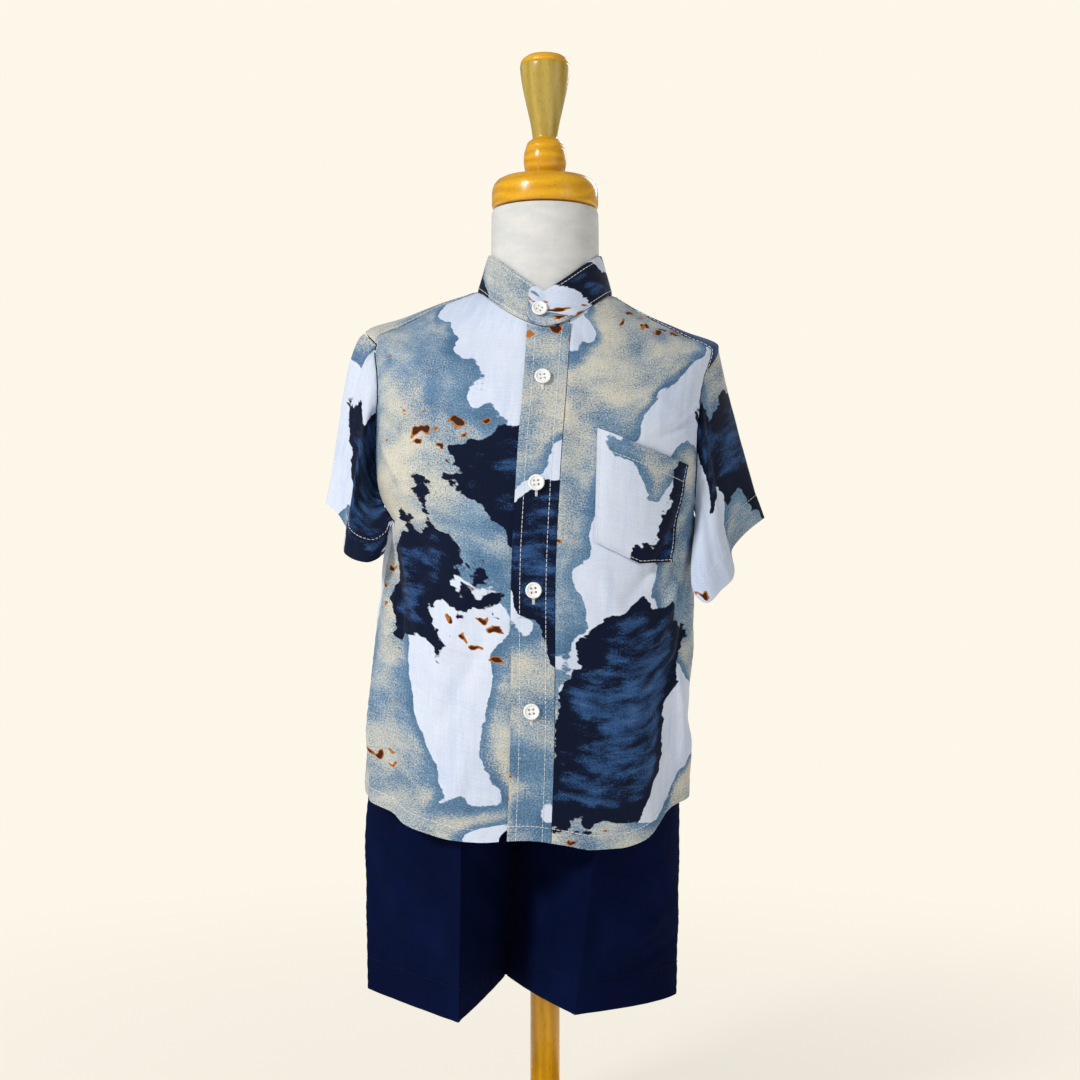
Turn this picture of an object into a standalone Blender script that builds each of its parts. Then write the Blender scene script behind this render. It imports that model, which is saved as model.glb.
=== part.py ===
"""A child's band-collar shirt and short trousers, worn by a limbless dress form on a turned wooden stand.

Left and right are the wearer's, so left is +X. The front faces -Y and +Z is up.
Tables are in millimetres and degrees. Heights in them are measured up from the trouser hem, because everything
above it hangs from the form; the stand lifts the lot by HEM_HEIGHT. Angles run round the body from the centre
front (0) over the left side (90) and the centre back (180) to the right side (270 or -90).
"""

import math
from collections import namedtuple

import bmesh
import bpy
import numpy as np
from mathutils import Matrix, Vector

MM = 0.001

# Driving dimensions
HEM_HEIGHT = 130.0  # floor to trouser hem
SHIRT_WALL = 1.2
TROUSER_WALL = 1.4
COLLAR_WALL = 1.6
WAISTBAND_WALL = 2.6
SEAM_GAP = 0.4  # between two pieces along a seam
LAY_GAP = 0.4  # under a piece that lies on another
BUTTON_RADIUS = 5.75
BUTTON_HEIGHT = 2.3
BUTTON_SEAT = 0.25  # a flat button on curved cloth stands off by this much more
PLACKET_WIDTH = 30.6
COLLAR_SEAM_GAP = 0.9
COLLAR_OVERLAP = 13.0  # each collar end runs this far past the centre front
NECK_RADIUS = 40.2
POLE_RADIUS = 11.0
BASE_RADIUS = 115.0

# Levels on the shirt, told by their height at the side of the body
ARMPIT = 353.0
SHOULDER_TIP = 488.0
NECKLINE = 524.0

# One closed ring round the shirt body for each level. Above the armpit a ring is lower at the front and back
# than over the shoulder: side_z is also the level's name, and saddle says how sharply it rises to the sides.
Ring = namedtuple("Ring", "side_z half_width front_depth front_z back_depth back_z shift squareness saddle")
SHIRT_RINGS = (
    Ring(100, 118.5, 90.0, 100, 85.0, 100, -14.5, 2.35, 4.0),
    Ring(148, 119.3, 90.5, 148, 84.5, 148, -14.0, 2.35, 4.0),
    Ring(200, 119.4, 91.5, 200, 83.0, 200, -13.0, 2.35, 4.0),
    Ring(260, 119.0, 91.5, 260, 80.5, 260, -8.5, 2.35, 4.0),
    Ring(310, 116.5, 89.5, 310, 78.5, 310, -5.0, 2.35, 4.0),
    Ring(353, 116.5, 87.5, 353, 78.0, 353, -3.0, 2.35, 4.0),
    Ring(386, 121.0, 86.0, 381, 77.5, 385, -4.0, 2.32, 4.0),
    Ring(420, 123.0, 84.0, 409, 77.0, 417, -3.5, 2.30, 4.0),
    Ring(465, 128.0, 77.5, 441, 72.0, 460, -2.5, 2.25, 4.0),
    Ring(488, 132.0, 70.5, 460, 66.0, 482, -2.5, 2.20, 4.0),
    Ring(500, 106.0, 66.0, 472, 61.0, 498, -1.5, 2.10, 3.6),
    Ring(512, 77.5, 61.5, 482, 55.0, 516, -0.5, 2.05, 2.8),
    Ring(524, 50.5, 57.0, 493, 47.5, 535, 0.0, 2.00, 1.6),
)
# The collar's top edge, a ring of its own round the neck, pointed at the front
COLLAR_TOP = Ring(552.5, 42.6, 44.6, 520.6, 43.0, 562, 0.0, 2.00, 1.1)

# Soft folds in the shirt body: a ridge, or a trough where depth is negative, that runs down from top to bottom
# and leans by lean degrees on the way
Fold = namedtuple("Fold", "angle half_angle top bottom depth lean")
SHIRT_FOLDS = (
    Fold(-66, 7, 352, 96, 4.2, 4),
    Fold(-52, 6, 300, 96, -3.0, 3),
    Fold(-38, 8, 250, 96, 2.2, -4),
    Fold(46, 8, 318, 96, -2.6, 12),
    Fold(64, 7, 345, 96, 4.6, 8),
    Fold(80, 6, 300, 96, -3.0, 2),
    Fold(112, 8, 340, 96, 3.6, 6),
    Fold(130, 8, 390, 96, -3.2, 4),
    Fold(150, 9, 430, 96, 3.8, 3),
    Fold(172, 10, 440, 96, -3.0, -2),
    Fold(196, 9, 430, 96, 3.6, -3),
    Fold(218, 8, 400, 96, -3.0, -4),
    Fold(240, 8, 350, 96, 3.8, -5),
)

# The shirt-tail hem: its height at angles round the body
Hem = namedtuple("Hem", "angle z")
SHIRT_HEM = (
    Hem(-270, 155), Hem(-225, 147), Hem(-180, 134), Hem(-135, 147), Hem(-90, 155), Hem(-68, 153), Hem(-55, 147.5),
    Hem(-43, 140), Hem(-33, 134.5), Hem(-22, 130), Hem(-12, 129), Hem(0, 131), Hem(9, 128), Hem(20, 123.5),
    Hem(30, 123.5), Hem(42, 127.5), Hem(52, 137.5), Hem(62, 149), Hem(75, 154), Hem(90, 155), Hem(135, 147),
    Hem(180, 134), Hem(225, 147), Hem(270, 155),
)

# Where the placket's middle runs: x at heights down the centre front
Placket = namedtuple("Placket", "level x")
PLACKET_LINE = (Placket(100, -12.6), Placket(220, -8.9), Placket(300, -8.7), Placket(380, -5.7), Placket(524, 2.6))
RIGHT_FRONT_UNDER = 8.0  # the right front runs this far past the placket's middle, under it
RIGHT_FRONT_SWING = 29.0  # at the hem its corner swings back out by this much
SWING_HEIGHT = 26.0
PLACKET_EASE = 16.0  # the left front rises to the placket over this width

# Where each side seam runs: its angle at the armpit and lower down
SideSeam = namedtuple("SideSeam", "at_armpit at_waist at_hem")
SIDE_SEAMS = {"left": SideSeam(80.0, 88.0, 90.0), "right": SideSeam(64.0, 84.0, 90.0)}

# How far round the body each armhole reaches to the front and back of its middle, in degrees
Armhole = namedtuple("Armhole", "front back")
ARMHOLES = {"left": Armhole(21.0, 26.0), "right": Armhole(13.0, 25.0)}
ARMHOLE_SQUARENESS = 0.8
ARMPIT_SHARPNESS = 8  # the higher, the nearer to the armpit the armhole turns in to the side seam
ARMHOLE_STEP = 15  # every piece sewn to the armhole has a point at each step round it
YOKE_TURN = 30  # the yoke's seams meet the armhole this far from the shoulder tip

# Cuff of each short sleeve, once round it from the outer fold over the front: x is outward from the centre
Cuff = namedtuple("Cuff", "turn x y z")
SLEEVE_CUFFS = {
    "right": (
        Cuff(0, 166, 16, 368), Cuff(38, 153, -2, 357), Cuff(62, 147, -20, 346), Cuff(95, 145, -46, 331),
        Cuff(135, 127, -60, 324), Cuff(162, 115, -50, 333), Cuff(185, 119, -26, 347), Cuff(225, 125, 6, 350),
        Cuff(262, 130, 44, 352), Cuff(305, 147, 58, 358), Cuff(335, 161, 42, 365),
    ),
    "left": (
        Cuff(0, 167, 20, 357), Cuff(38, 150, 0, 345), Cuff(62, 139, -16, 332), Cuff(95, 136, -42, 313),
        Cuff(135, 118, -62, 300), Cuff(162, 106, -53, 307), Cuff(185, 114, -24, 330), Cuff(225, 120, 8, 340),
        Cuff(262, 126, 46, 342), Cuff(305, 146, 60, 347), Cuff(335, 162, 45, 354),
    ),
}
# How far each sleeve head stands out before it falls, as a share of its lines' length
SLEEVE_SPRING = {"right": 0.45, "left": 0.12}

# Chest pocket, corner by corner, on the left front: x from the centre and height
PocketCorner = namedtuple("PocketCorner", "x z")
POCKET = {
    "top": (PocketCorner(36.5, 418.5), PocketCorner(101.5, 394.0)),
    "bottom": (PocketCorner(34.0, 338.5), PocketCorner(66.0, 323.5), PocketCorner(89.0, 324.5)),
}

# Button centres: x and height. The first is on the collar band, the others on the placket
ButtonPlace = namedtuple("ButtonPlace", "name x z")
BUTTONS = (
    ButtonPlace("button_collar", -4.3, 505.6),
    ButtonPlace("button_placket_1", -1.9, 454.3),
    ButtonPlace("button_placket_2", -6.3, 380.0),
    ButtonPlace("button_placket_3", -8.2, 304.9),
    ButtonPlace("button_placket_4", -9.7, 221.0),
)

# Trouser legs. Each row is a line round half a leg: from the side seam over the pressed crease to the inseam
# or, above the crotch, to the centre seam. turn is 0 where the line runs into an inseam and 1 where it runs
# into a centre seam.
Leg = namedtuple("Leg", "side_z side_x crease_x crease_y crease_z inner_x inner_y inner_z turn")
TROUSER_FRONTS = {
    "right": (
        Leg(4, -131.0, -61.5, -72.0, -1, -33.2, 0.0, 14, 0.0),
        Leg(60, -132.0, -60.5, -73.5, 60, -28.6, 0.0, 68, 0.0),
        Leg(122, -132.5, -59.5, -75.5, 125, -24.0, 0.0, 128, 0.0),
        Leg(146, -131.0, -59.0, -77.5, 139, -22.2, -36.0, 132, 0.15),
        Leg(168, -128.5, -59.0, -79.0, 157.5, -20.5, -64.0, 147, 0.5),
        Leg(195, -122.0, -60.0, -78.0, 188.5, -16.0, -79.0, 182, 0.9),
        Leg(232, -109.0, -62.0, -69.5, 230, -9.0, -82.0, 228, 1.0),
        Leg(274, -91.8, -63.5, -56.0, 274, -1.5, -77.5, 274, 1.0),
    ),
    "left": (
        Leg(0, 99.0, 21.0, -63.0, 2, -29.0, 0.0, 14, 0.0),
        Leg(60, 100.5, 28.0, -69.0, 60, -25.0, 0.0, 68, 0.0),
        Leg(122, 101.0, 35.0, -74.5, 125, -21.0, 0.0, 128, 0.0),
        Leg(146, 101.0, 37.0, -77.5, 139, -21.2, -36.0, 132, 0.15),
        Leg(168, 101.0, 40.0, -79.0, 157.5, -19.5, -64.0, 147, 0.5),
        Leg(195, 100.0, 46.0, -79.0, 188.5, -15.0, -79.0, 182, 0.9),
        Leg(232, 97.0, 55.0, -71.5, 230, -8.0, -82.0, 228, 1.0),
        Leg(274, 91.8, 63.5, -56.0, 274, -0.5, -77.5, 274, 1.0),
    ),
}
TROUSER_BACKS = {
    "right": (
        Leg(4, -131.0, -79.0, 66.0, 3, -33.2, 0.0, 14, 0.0),
        Leg(60, -132.0, -77.0, 67.0, 62, -28.6, 0.0, 68, 0.0),
        Leg(122, -132.5, -74.0, 68.0, 125, -24.0, 0.0, 128, 0.0),
        Leg(146, -131.0, -72.0, 68.5, 138.5, -22.2, 34.0, 131, 0.15),
        Leg(168, -128.5, -70.0, 68.5, 159, -20.5, 60.0, 150, 0.5),
        Leg(195, -122.0, -68.0, 66.5, 190.5, -16.0, 72.0, 186, 0.9),
        Leg(232, -109.0, -66.0, 58.5, 231, -9.0, 71.5, 230, 1.0),
        Leg(274, -91.8, -63.5, 50.0, 274, -1.5, 69.0, 274, 1.0),
    ),
    "left": (
        Leg(0, 99.0, 42.0, 66.0, 3, -29.0, 0.0, 14, 0.0),
        Leg(60, 100.5, 43.0, 67.0, 62, -25.0, 0.0, 68, 0.0),
        Leg(122, 101.0, 44.0, 68.0, 125, -21.0, 0.0, 128, 0.0),
        Leg(146, 101.0, 45.0, 68.5, 138.5, -21.2, 34.0, 131, 0.15),
        Leg(168, 101.0, 47.0, 68.5, 159, -19.5, 60.0, 150, 0.5),
        Leg(195, 100.0, 51.0, 66.5, 190.5, -15.0, 72.0, 186, 0.9),
        Leg(232, 97.0, 58.0, 58.5, 231, -8.0, 71.5, 230, 1.0),
        Leg(274, 91.8, 63.5, 50.0, 274, -0.5, 69.0, 274, 1.0),
    ),
}
INSEAM_BOW = 15.0  # the legs' inner walls bow to the left in front of the inseam, and to the right behind it
WAISTBAND_HEIGHT = 28.0
WAIST = Ring(274, 91.8, 78.0, 274, 69.5, 274, 0.0, 2.05, 2.0)

# The dress form from its flat underside to the base of the neck
FORM_RINGS = (
    Ring(146, 62.0, 44.0, 146, 40.0, 146, 0.0, 2.1, 2.0),
    Ring(150, 73.0, 53.0, 150, 48.0, 150, 0.0, 2.1, 2.0),
    Ring(162, 81.0, 61.0, 162, 56.0, 162, 0.0, 2.1, 2.0),
    Ring(185, 86.5, 67.0, 185, 61.0, 185, 0.0, 2.1, 2.0),
    Ring(215, 88.5, 71.0, 215, 63.5, 215, 0.0, 2.1, 2.0),
    Ring(250, 88.0, 73.5, 250, 65.0, 250, 0.0, 2.05, 2.0),
    Ring(302, 88.6, 74.8, 302, 66.3, 302, 0.0, 2.05, 2.0),
    Ring(340, 92.5, 74.0, 336, 67.5, 338, 0.0, 2.1, 2.0),
    Ring(380, 98.0, 73.0, 370, 68.5, 375, 0.0, 2.15, 3.0),
    Ring(420, 105.0, 71.0, 404, 68.0, 412, 0.0, 2.2, 3.5),
    Ring(455, 113.0, 67.0, 432, 65.0, 446, 0.0, 2.2, 3.8),
    Ring(472, 115.0, 63.0, 446, 61.5, 463, 0.0, 2.2, 4.0),
    Ring(482, 112.0, 60.5, 454, 59.0, 474, 0.0, 2.2, 4.0),
)
FORM_SHOULDER_LEVELS = (496.0, 503.0, 510.0, 517.0)  # here the form lies close under the yoke
FORM_SHOULDER_GAP = 3.2
FORM_COLLAR_SHARES = (0.2, 0.6, 1.0)  # and here close under the collar band
FORM_COLLAR_GAP = 0.6
NeckRing = namedtuple("NeckRing", "z radius")
FORM_NECK = (NeckRing(572, 39.6), NeckRing(584, 39.2), NeckRing(587.5, 38.0))
FORM_SIDES = 32

# Turned wood, as radius and height from the bottom up
Turned = namedtuple("Turned", "radius z")
NECK_CAP = (
    Turned(37.0, 588.2), Turned(38.6, 590.0), Turned(38.9, 598.0), Turned(38.2, 604.0), Turned(35.2, 608.4),
    Turned(30.0, 610.6), Turned(14.0, 611.2),
)
FINIAL = (
    Turned(10.4, 611.5), Turned(12.4, 613.5), Turned(14.7, 620.0), Turned(14.9, 627.0), Turned(13.0, 633.5),
    Turned(10.0, 637.0), Turned(8.6, 638.2), Turned(9.2, 645.0), Turned(11.2, 660.0), Turned(14.6, 679.0),
    Turned(17.6, 692.0), Turned(17.9, 696.0), Turned(15.6, 700.5), Turned(9.0, 703.4), Turned(3.0, 704.0),
)
BASE = (
    Turned(BASE_RADIUS - 3.0, 0.0), Turned(BASE_RADIUS, 3.0), Turned(BASE_RADIUS, 11.0),
    Turned(BASE_RADIUS - 3.5, 15.5), Turned(BASE_RADIUS - 11.0, 18.0), Turned(30.0, 20.0), Turned(22.0, 22.0),
    Turned(19.0, 27.0), Turned(18.0, 34.0), Turned(15.5, 37.0),
)
POLE_FOOT = 37.3
TURNED_SIDES = 24

FINISHES = {
    "batik_cotton": ((0.36, 0.44, 0.55), 0.78, 0.0),
    "navy_twill": ((0.012, 0.020, 0.065), 0.72, 0.0),
    "button_white": ((0.86, 0.87, 0.88), 0.32, 0.0),
    "form_cover": ((0.72, 0.71, 0.70), 0.85, 0.0),
    "turned_wood": ((0.62, 0.34, 0.06), 0.35, 0.0),
}


# Numbers along a curve
def eased_through(at, xs, ys):
    """A smooth line through the points (xs, ys) that never overshoots them, read at one or more places."""
    xs, ys = np.asarray(xs, float), np.asarray(ys, float)
    step, rise = np.diff(xs), np.diff(ys) / np.diff(xs)
    slope = np.zeros(len(xs))
    same_way = rise[:-1] * rise[1:] > 0
    mean = 2 * rise[:-1] * rise[1:] / np.where(same_way, rise[:-1] + rise[1:], 1)
    slope[1:-1] = np.where(same_way, mean, 0)
    slope[0], slope[-1] = rise[0], rise[-1]
    at = np.clip(np.asarray(at, float), xs[0], xs[-1])
    i = np.clip(np.searchsorted(xs, at) - 1, 0, len(step) - 1)
    t = (at - xs[i]) / step[i]
    a, b = (1 + 2 * t) * (1 - t) ** 2, t * (1 - t) ** 2
    c, d = t * t * (3 - 2 * t), t * t * (t - 1)
    return a * ys[i] + b * step[i] * slope[i] + c * ys[i + 1] + d * step[i] * slope[i + 1]


def column(rows, name):
    return np.array([getattr(row, name) for row in rows], float)


def read(rows, key, name, at):
    """The named column of a table at places along its key column."""
    return eased_through(at, column(rows, key), column(rows, name))


def smoothstep(t):
    t = np.clip(t, 0, 1)
    return t * t * (3 - 2 * t)


# The shirt body as one surface
def ring_point(ring, angle):
    """The point of a ring at an angle. The ring's fields may be arrays as long as angle."""
    across, along = np.sin(np.radians(angle)), np.cos(np.radians(angle))
    power = 2 / ring.squareness
    front = along > 0
    x = ring.shift + ring.half_width * np.sign(across) * np.abs(across) ** power
    depth = np.where(front, ring.front_depth, ring.back_depth)
    y = -depth * np.sign(along) * np.abs(along) ** power
    end_z = np.where(front, ring.front_z, ring.back_z)
    z = end_z + (ring.side_z - end_z) * np.abs(across) ** ring.saddle
    return np.stack([x, y, z], axis=-1)


def fold_depth(angle, level):
    """How far the folds push the cloth out at a place on the body."""
    depth = np.zeros(np.broadcast(angle, level).shape)
    for fold in SHIRT_FOLDS:
        down = np.clip((fold.top - level) / (fold.top - fold.bottom), 0, 1)
        middle = fold.angle + fold.lean * down
        off = (angle - middle + 180) % 360 - 180
        depth += fold.depth * smoothstep(down * 1.6) * np.exp(-((off / fold.half_angle) ** 2))
    return depth


def body_point(angle, level):
    """The outer face of the shirt body."""
    angle, level = np.broadcast_arrays(np.asarray(angle, float), np.asarray(level, float))
    here = Ring(level, *(read(SHIRT_RINGS, "side_z", name, level) for name in Ring._fields[1:]))
    point = ring_point(here, angle)
    push = fold_depth(angle, level)
    point[..., 0] += push * np.sin(np.radians(angle))
    point[..., 1] -= push * np.cos(np.radians(angle))
    return point


def body_normal(angle, level):
    """The outward direction of the shirt body, from two short steps along it."""
    turn = body_point(angle + 0.5, level) - body_point(angle - 0.5, level)
    rise = body_point(angle, level + 0.5) - body_point(angle, level - 0.5)
    normal = np.cross(turn, rise)
    return normal / np.linalg.norm(normal, axis=-1, keepdims=True)


def body_outside(angle, level, out):
    return body_point(angle, level) + body_normal(angle, level) * np.asarray(out)[..., None]


def angle_at_x(level, x):
    """The angle at which the front of a ring reaches x."""
    shift = read(SHIRT_RINGS, "side_z", "shift", level)
    half_width = read(SHIRT_RINGS, "side_z", "half_width", level)
    squareness = read(SHIRT_RINGS, "side_z", "squareness", level)
    share = (np.asarray(x, float) - shift) / half_width
    return np.degrees(np.arcsin(np.sign(share) * np.abs(share) ** (squareness / 2)))


def level_at_front_z(z):
    levels = np.linspace(SHIRT_RINGS[0].side_z, NECKLINE, 400)
    return np.interp(z, read(SHIRT_RINGS, "side_z", "front_z", levels), levels)


def hem_level(angle):
    return read(SHIRT_HEM, "angle", "z", angle)


def placket_x(level):
    return read(PLACKET_LINE, "level", "x", level)


# Edges of the shirt's pieces, as rows of (angle, level)
def armhole(side, turn):
    """The armhole seam: turn 0 is the shoulder tip, 90 the front, 180 the armpit and 270 the back."""
    turn = np.radians(np.asarray(turn, float))
    lean = (90 - SIDE_SEAMS[side].at_armpit) * ((1 - np.cos(turn)) / 2) ** ARMPIT_SHARPNESS
    reach = np.where(np.sin(turn) > 0, -ARMHOLES[side].front, ARMHOLES[side].back)
    angle = 90 - lean + reach * np.abs(np.sin(turn)) ** ARMHOLE_SQUARENESS
    level = ARMPIT + (SHOULDER_TIP - ARMPIT) * (1 + np.cos(turn)) / 2
    return np.stack([angle if side == "left" else -angle, level], axis=-1)


def side_seam(side, count):
    """From the hem up to just under the armpit."""
    seam = SIDE_SEAMS[side]
    sign = 1 if side == "left" else -1
    start = float(hem_level(sign * seam.at_hem))
    level = np.linspace(start, ARMPIT, count + 1)
    angle = eased_through(level, [start, (start + ARMPIT) / 2, ARMPIT], [seam.at_hem, seam.at_waist, seam.at_armpit])
    return np.stack([sign * angle, level], axis=-1)


def straight(start, end, count):
    share = np.linspace(0, 1, count + 1)[:, None]
    return np.asarray(start, float) * (1 - share) + np.asarray(end, float) * share


def hem_line(start, end, count):
    angle = np.linspace(start, end, count + 1)
    return np.stack([angle, hem_level(angle)], axis=-1)


def joined(first, second):
    return np.concatenate([first, second[1:]])


def patch(bottom, top, start, end):
    """A grid of places filled in between its four edges, which meet at the corners."""
    u = np.linspace(0, 1, len(bottom))[:, None, None]
    v = np.linspace(0, 1, len(start))[None, :, None]
    across = (1 - v) * bottom[:, None] + v * top[:, None]
    along = (1 - u) * start[None] + u * end[None]
    corners = (1 - u) * ((1 - v) * bottom[0] + v * top[0]) + u * ((1 - v) * bottom[-1] + v * top[-1])
    return across + along - corners


# Spans along the seams. Pieces that meet share them, so their facets meet too.
SIDE_SEAM_SPANS = 9
ARMHOLE_SPANS = (180 - YOKE_TURN) // ARMHOLE_STEP  # from the armpit to the yoke, front or back
YOKE_SPANS = 7  # from the armhole to the neck
NECK_SPANS = 10  # from the front edge to the yoke
FRONT_ROW_HEIGHTS = (330.0, 425.0)  # where the rows from the armpit and from the yoke reach the centre front


# Meshes
def new_object(name, mesh, finish):
    mesh.materials.append(bpy.data.materials[finish])
    mesh.shade_smooth()
    mesh.set_sharp_from_angle(angle=math.radians(40))
    made = bpy.data.objects.new(name, mesh)
    bpy.context.scene.collection.objects.link(made)
    made.parent = bpy.data.objects["hung_from_stand"]
    return made


def mesh_of(name, build):
    """A mesh made by build, a function that is handed an empty bmesh."""
    form = bmesh.new()
    build(form)
    mesh = bpy.data.meshes.new(name)
    form.to_mesh(mesh)
    form.free()
    return mesh


def facing(points, inside, tube=False):
    """Unit normals of a grid of points, on the side away from the point inside."""
    turn = np.gradient(points, axis=0, edge_order=2)
    if tube:
        turn[0] = turn[-1] = points[1] - points[-2]
    normal = np.cross(turn, np.gradient(points, axis=1, edge_order=2))
    normal /= np.linalg.norm(normal, axis=-1, keepdims=True)
    return normal if (normal * (points - inside)).sum() > 0 else -normal


def eased_seams(points, seams):
    """The grid with its sewn edges drawn back by half a seam gap. seams names them: u0, u1, v0, v1."""
    points = points.copy()
    for edge in seams:
        grid = points if edge[0] == "u" else points.swapaxes(0, 1)
        here, inside = (0, 1) if edge[1] == "0" else (-1, -2)
        step = grid[inside] - grid[here]
        grid[here] += step / np.linalg.norm(step, axis=-1, keepdims=True) * SEAM_GAP / 2
    return points


def cloth(name, points, normals, wall, finish, seams=(), tube=False):
    """A wall of cloth: a grid of outer points, and the same grid one wall's thickness further in."""
    outer = eased_seams(points, seams)
    inner = outer - normals * wall
    across, along = outer.shape[:2]

    def build(form):
        column_mark = form.verts.layers.int.new("column")
        row_mark = form.verts.layers.int.new("row")
        bmesh.ops.create_grid(form, x_segments=across - 1, y_segments=along - 1, size=1.0)
        for vert in form.verts:
            vert[column_mark] = round((vert.co.x + 1) / 2 * (across - 1))
            vert[row_mark] = round((vert.co.y + 1) / 2 * (along - 1))
            vert.co = Vector(outer[vert[column_mark], vert[row_mark]]) * MM
        if tube:
            bmesh.ops.remove_doubles(form, verts=form.verts, dist=1e-6)
        lining = bmesh.ops.extrude_face_region(form, geom=form.faces[:], use_keep_orig=True)
        for vert in lining["geom"]:
            if isinstance(vert, bmesh.types.BMVert):
                vert.co = Vector(inner[vert[column_mark], vert[row_mark]]) * MM
        bmesh.ops.recalc_face_normals(form, faces=form.faces)

    return new_object(name, mesh_of(name, build), finish)


def on_body(name, angle, level, out, seams=()):
    """A wall of shirt cloth whose outer face stands out from the body surface by out."""
    normals = body_normal(angle, level)
    points = body_point(angle, level) + normals * np.broadcast_to(out, angle.shape)[..., None]
    return cloth(name, points, normals, SHIRT_WALL, "batik_cotton", seams)


def skinned(form, rings):
    """A closed solid through rings of points, each with as many points, flat at both ends."""
    loops = [[form.verts.new(Vector(point) * MM) for point in ring] for ring in rings]
    for lower, upper in zip(loops, loops[1:]):
        for i in range(len(lower)):
            k = (i + 1) % len(lower)
            form.faces.new((lower[i], lower[k], upper[k], upper[i]))
    form.faces.new(reversed(loops[0]))
    form.faces.new(loops[-1])


def turned(name, rows, finish, sides=TURNED_SIDES):
    """A piece turned on a lathe about the form's axis."""

    def build(form):
        first = rows[0]
        profile = [form.verts.new((0, 0, first.z * MM))]
        profile += [form.verts.new((row.radius * MM, 0, row.z * MM)) for row in rows]
        profile.append(form.verts.new((0, 0, rows[-1].z * MM)))
        edges = [form.edges.new(pair) for pair in zip(profile, profile[1:])]
        bmesh.ops.spin(
            form, geom=profile + edges, cent=(0, 0, 0), axis=(0, 0, 1), angle=math.tau, steps=sides, use_merge=True
        )
        bmesh.ops.remove_doubles(form, verts=form.verts, dist=1e-6)
        bmesh.ops.recalc_face_normals(form, faces=form.faces)

    return new_object(name, mesh_of(name, build), finish)


# The shirt
def outer_edge(side, turn):
    """The side seam up to the armpit, then the armhole up to the yoke seam at turn."""
    return joined(side_seam(side, SIDE_SEAM_SPANS), armhole(side, np.linspace(180, turn, ARMHOLE_SPANS + 1)))


def front_rows(low):
    """The levels, from low up, at which the rows of the front pieces reach the centre front."""
    spans = np.cumsum([0, SIDE_SEAM_SPANS, ARMHOLE_SPANS, YOKE_SPANS])
    heights = (low, *FRONT_ROW_HEIGHTS, SHIRT_RINGS[-1].front_z)
    return level_at_front_z(np.interp(np.arange(spans[-1] + 1), spans, heights))


def centre_edge(x_at_level):
    """A front's edge down the centre front: x_at_level gives its x at each level."""
    level = front_rows(float(hem_level(angle_at_x(130.0, x_at_level(130.0)))))
    return np.stack([angle_at_x(level, x_at_level(level)), level], axis=-1)


def shirt_front(side, x_at_level, rise):
    """One front, from its centre edge to the side seam, armhole and yoke. rise(x, level) lifts it."""
    tip = armhole(side, YOKE_TURN)
    corner = (tip[0], NECKLINE)
    start = centre_edge(x_at_level)
    end = joined(outer_edge(side, YOKE_TURN), straight(tip, corner, YOKE_SPANS))
    bottom = hem_line(start[0, 0], end[0, 0], NECK_SPANS)
    places = patch(bottom, straight(start[-1], corner, NECK_SPANS), start, end)
    angle, level = places[..., 0], places[..., 1]
    out = rise(body_point(angle, level)[..., 0] - placket_x(level), level)
    on_body(f"shirt_front_{side}", angle, level, out, seams=("u0", "u1", "v1"))


def shirt_fronts():
    placket_out = SHIRT_WALL + LAY_GAP
    left_edge = PLACKET_WIDTH / 2 + SEAM_GAP / 2

    def left_x(level):
        return placket_x(level) + left_edge

    def right_x(level):
        swing = RIGHT_FRONT_SWING * smoothstep((hem_level(0.0) + SWING_HEIGHT - level) / SWING_HEIGHT)
        return placket_x(level) + RIGHT_FRONT_UNDER - swing

    def left_rise(x, level):
        beside = 1 - smoothstep((x - left_edge) / PLACKET_EASE)
        return placket_out * beside * smoothstep((NECKLINE - level) / PLACKET_EASE)

    shirt_front("left", left_x, left_rise)
    shirt_front("right", right_x, lambda x, level: np.zeros_like(x))


def shirt_placket():
    """The buttonhole band down the left front's edge. It lies over the right front."""
    across = 4
    level = front_rows(float(hem_level(0.0)))
    level[-1] -= 1.5
    x = placket_x(level)[None] + np.linspace(-PLACKET_WIDTH / 2, PLACKET_WIDTH / 2, across + 1)[:, None]
    levels = np.broadcast_to(level, x.shape)
    angle = angle_at_x(levels, x)
    down = smoothstep((level[4] - levels) / (level[4] - level[0]))
    levels = levels + down * (hem_level(angle) - hem_level(0.0))
    on_body("shirt_placket", angle, levels, SHIRT_WALL + LAY_GAP, seams=("u1",))


def shirt_back():
    top_count = 20
    sides = []
    for side in ("left", "right"):
        edge = outer_edge(side, 360 - YOKE_TURN)
        edge[:, 0] %= 360
        sides.append(edge)
    start, end = sides
    top = straight(start[-1], end[-1], top_count)
    places = patch(hem_line(start[0, 0], end[0, 0], top_count), top, start, end)
    on_body("shirt_back", places[..., 0], places[..., 1], 0.0, seams=("u0", "u1", "v1"))


def shirt_yoke():
    """Over both shoulders and across the back: from the armholes and the back seam in to the neckline."""
    back_count = 20
    outer = []
    for side in ("left", "right"):
        edge = armhole(side, np.arange(YOKE_TURN, -YOKE_TURN - 1, -ARMHOLE_STEP))
        edge[:, 0] %= 360
        outer.append(edge)
    back_seam = straight(outer[0][-1], outer[1][-1], back_count)
    bottom = joined(joined(outer[0], back_seam), outer[1][::-1])
    top = np.stack([bottom[:, 0], np.full(len(bottom), NECKLINE)], axis=-1)
    start, end = straight(bottom[0], top[0], YOKE_SPANS), straight(bottom[-1], top[-1], YOKE_SPANS)
    places = patch(bottom, top, start, end)
    on_body("shirt_yoke", places[..., 0], places[..., 1], 0.0, seams=("u0", "u1", "v0", "v1"))


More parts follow.
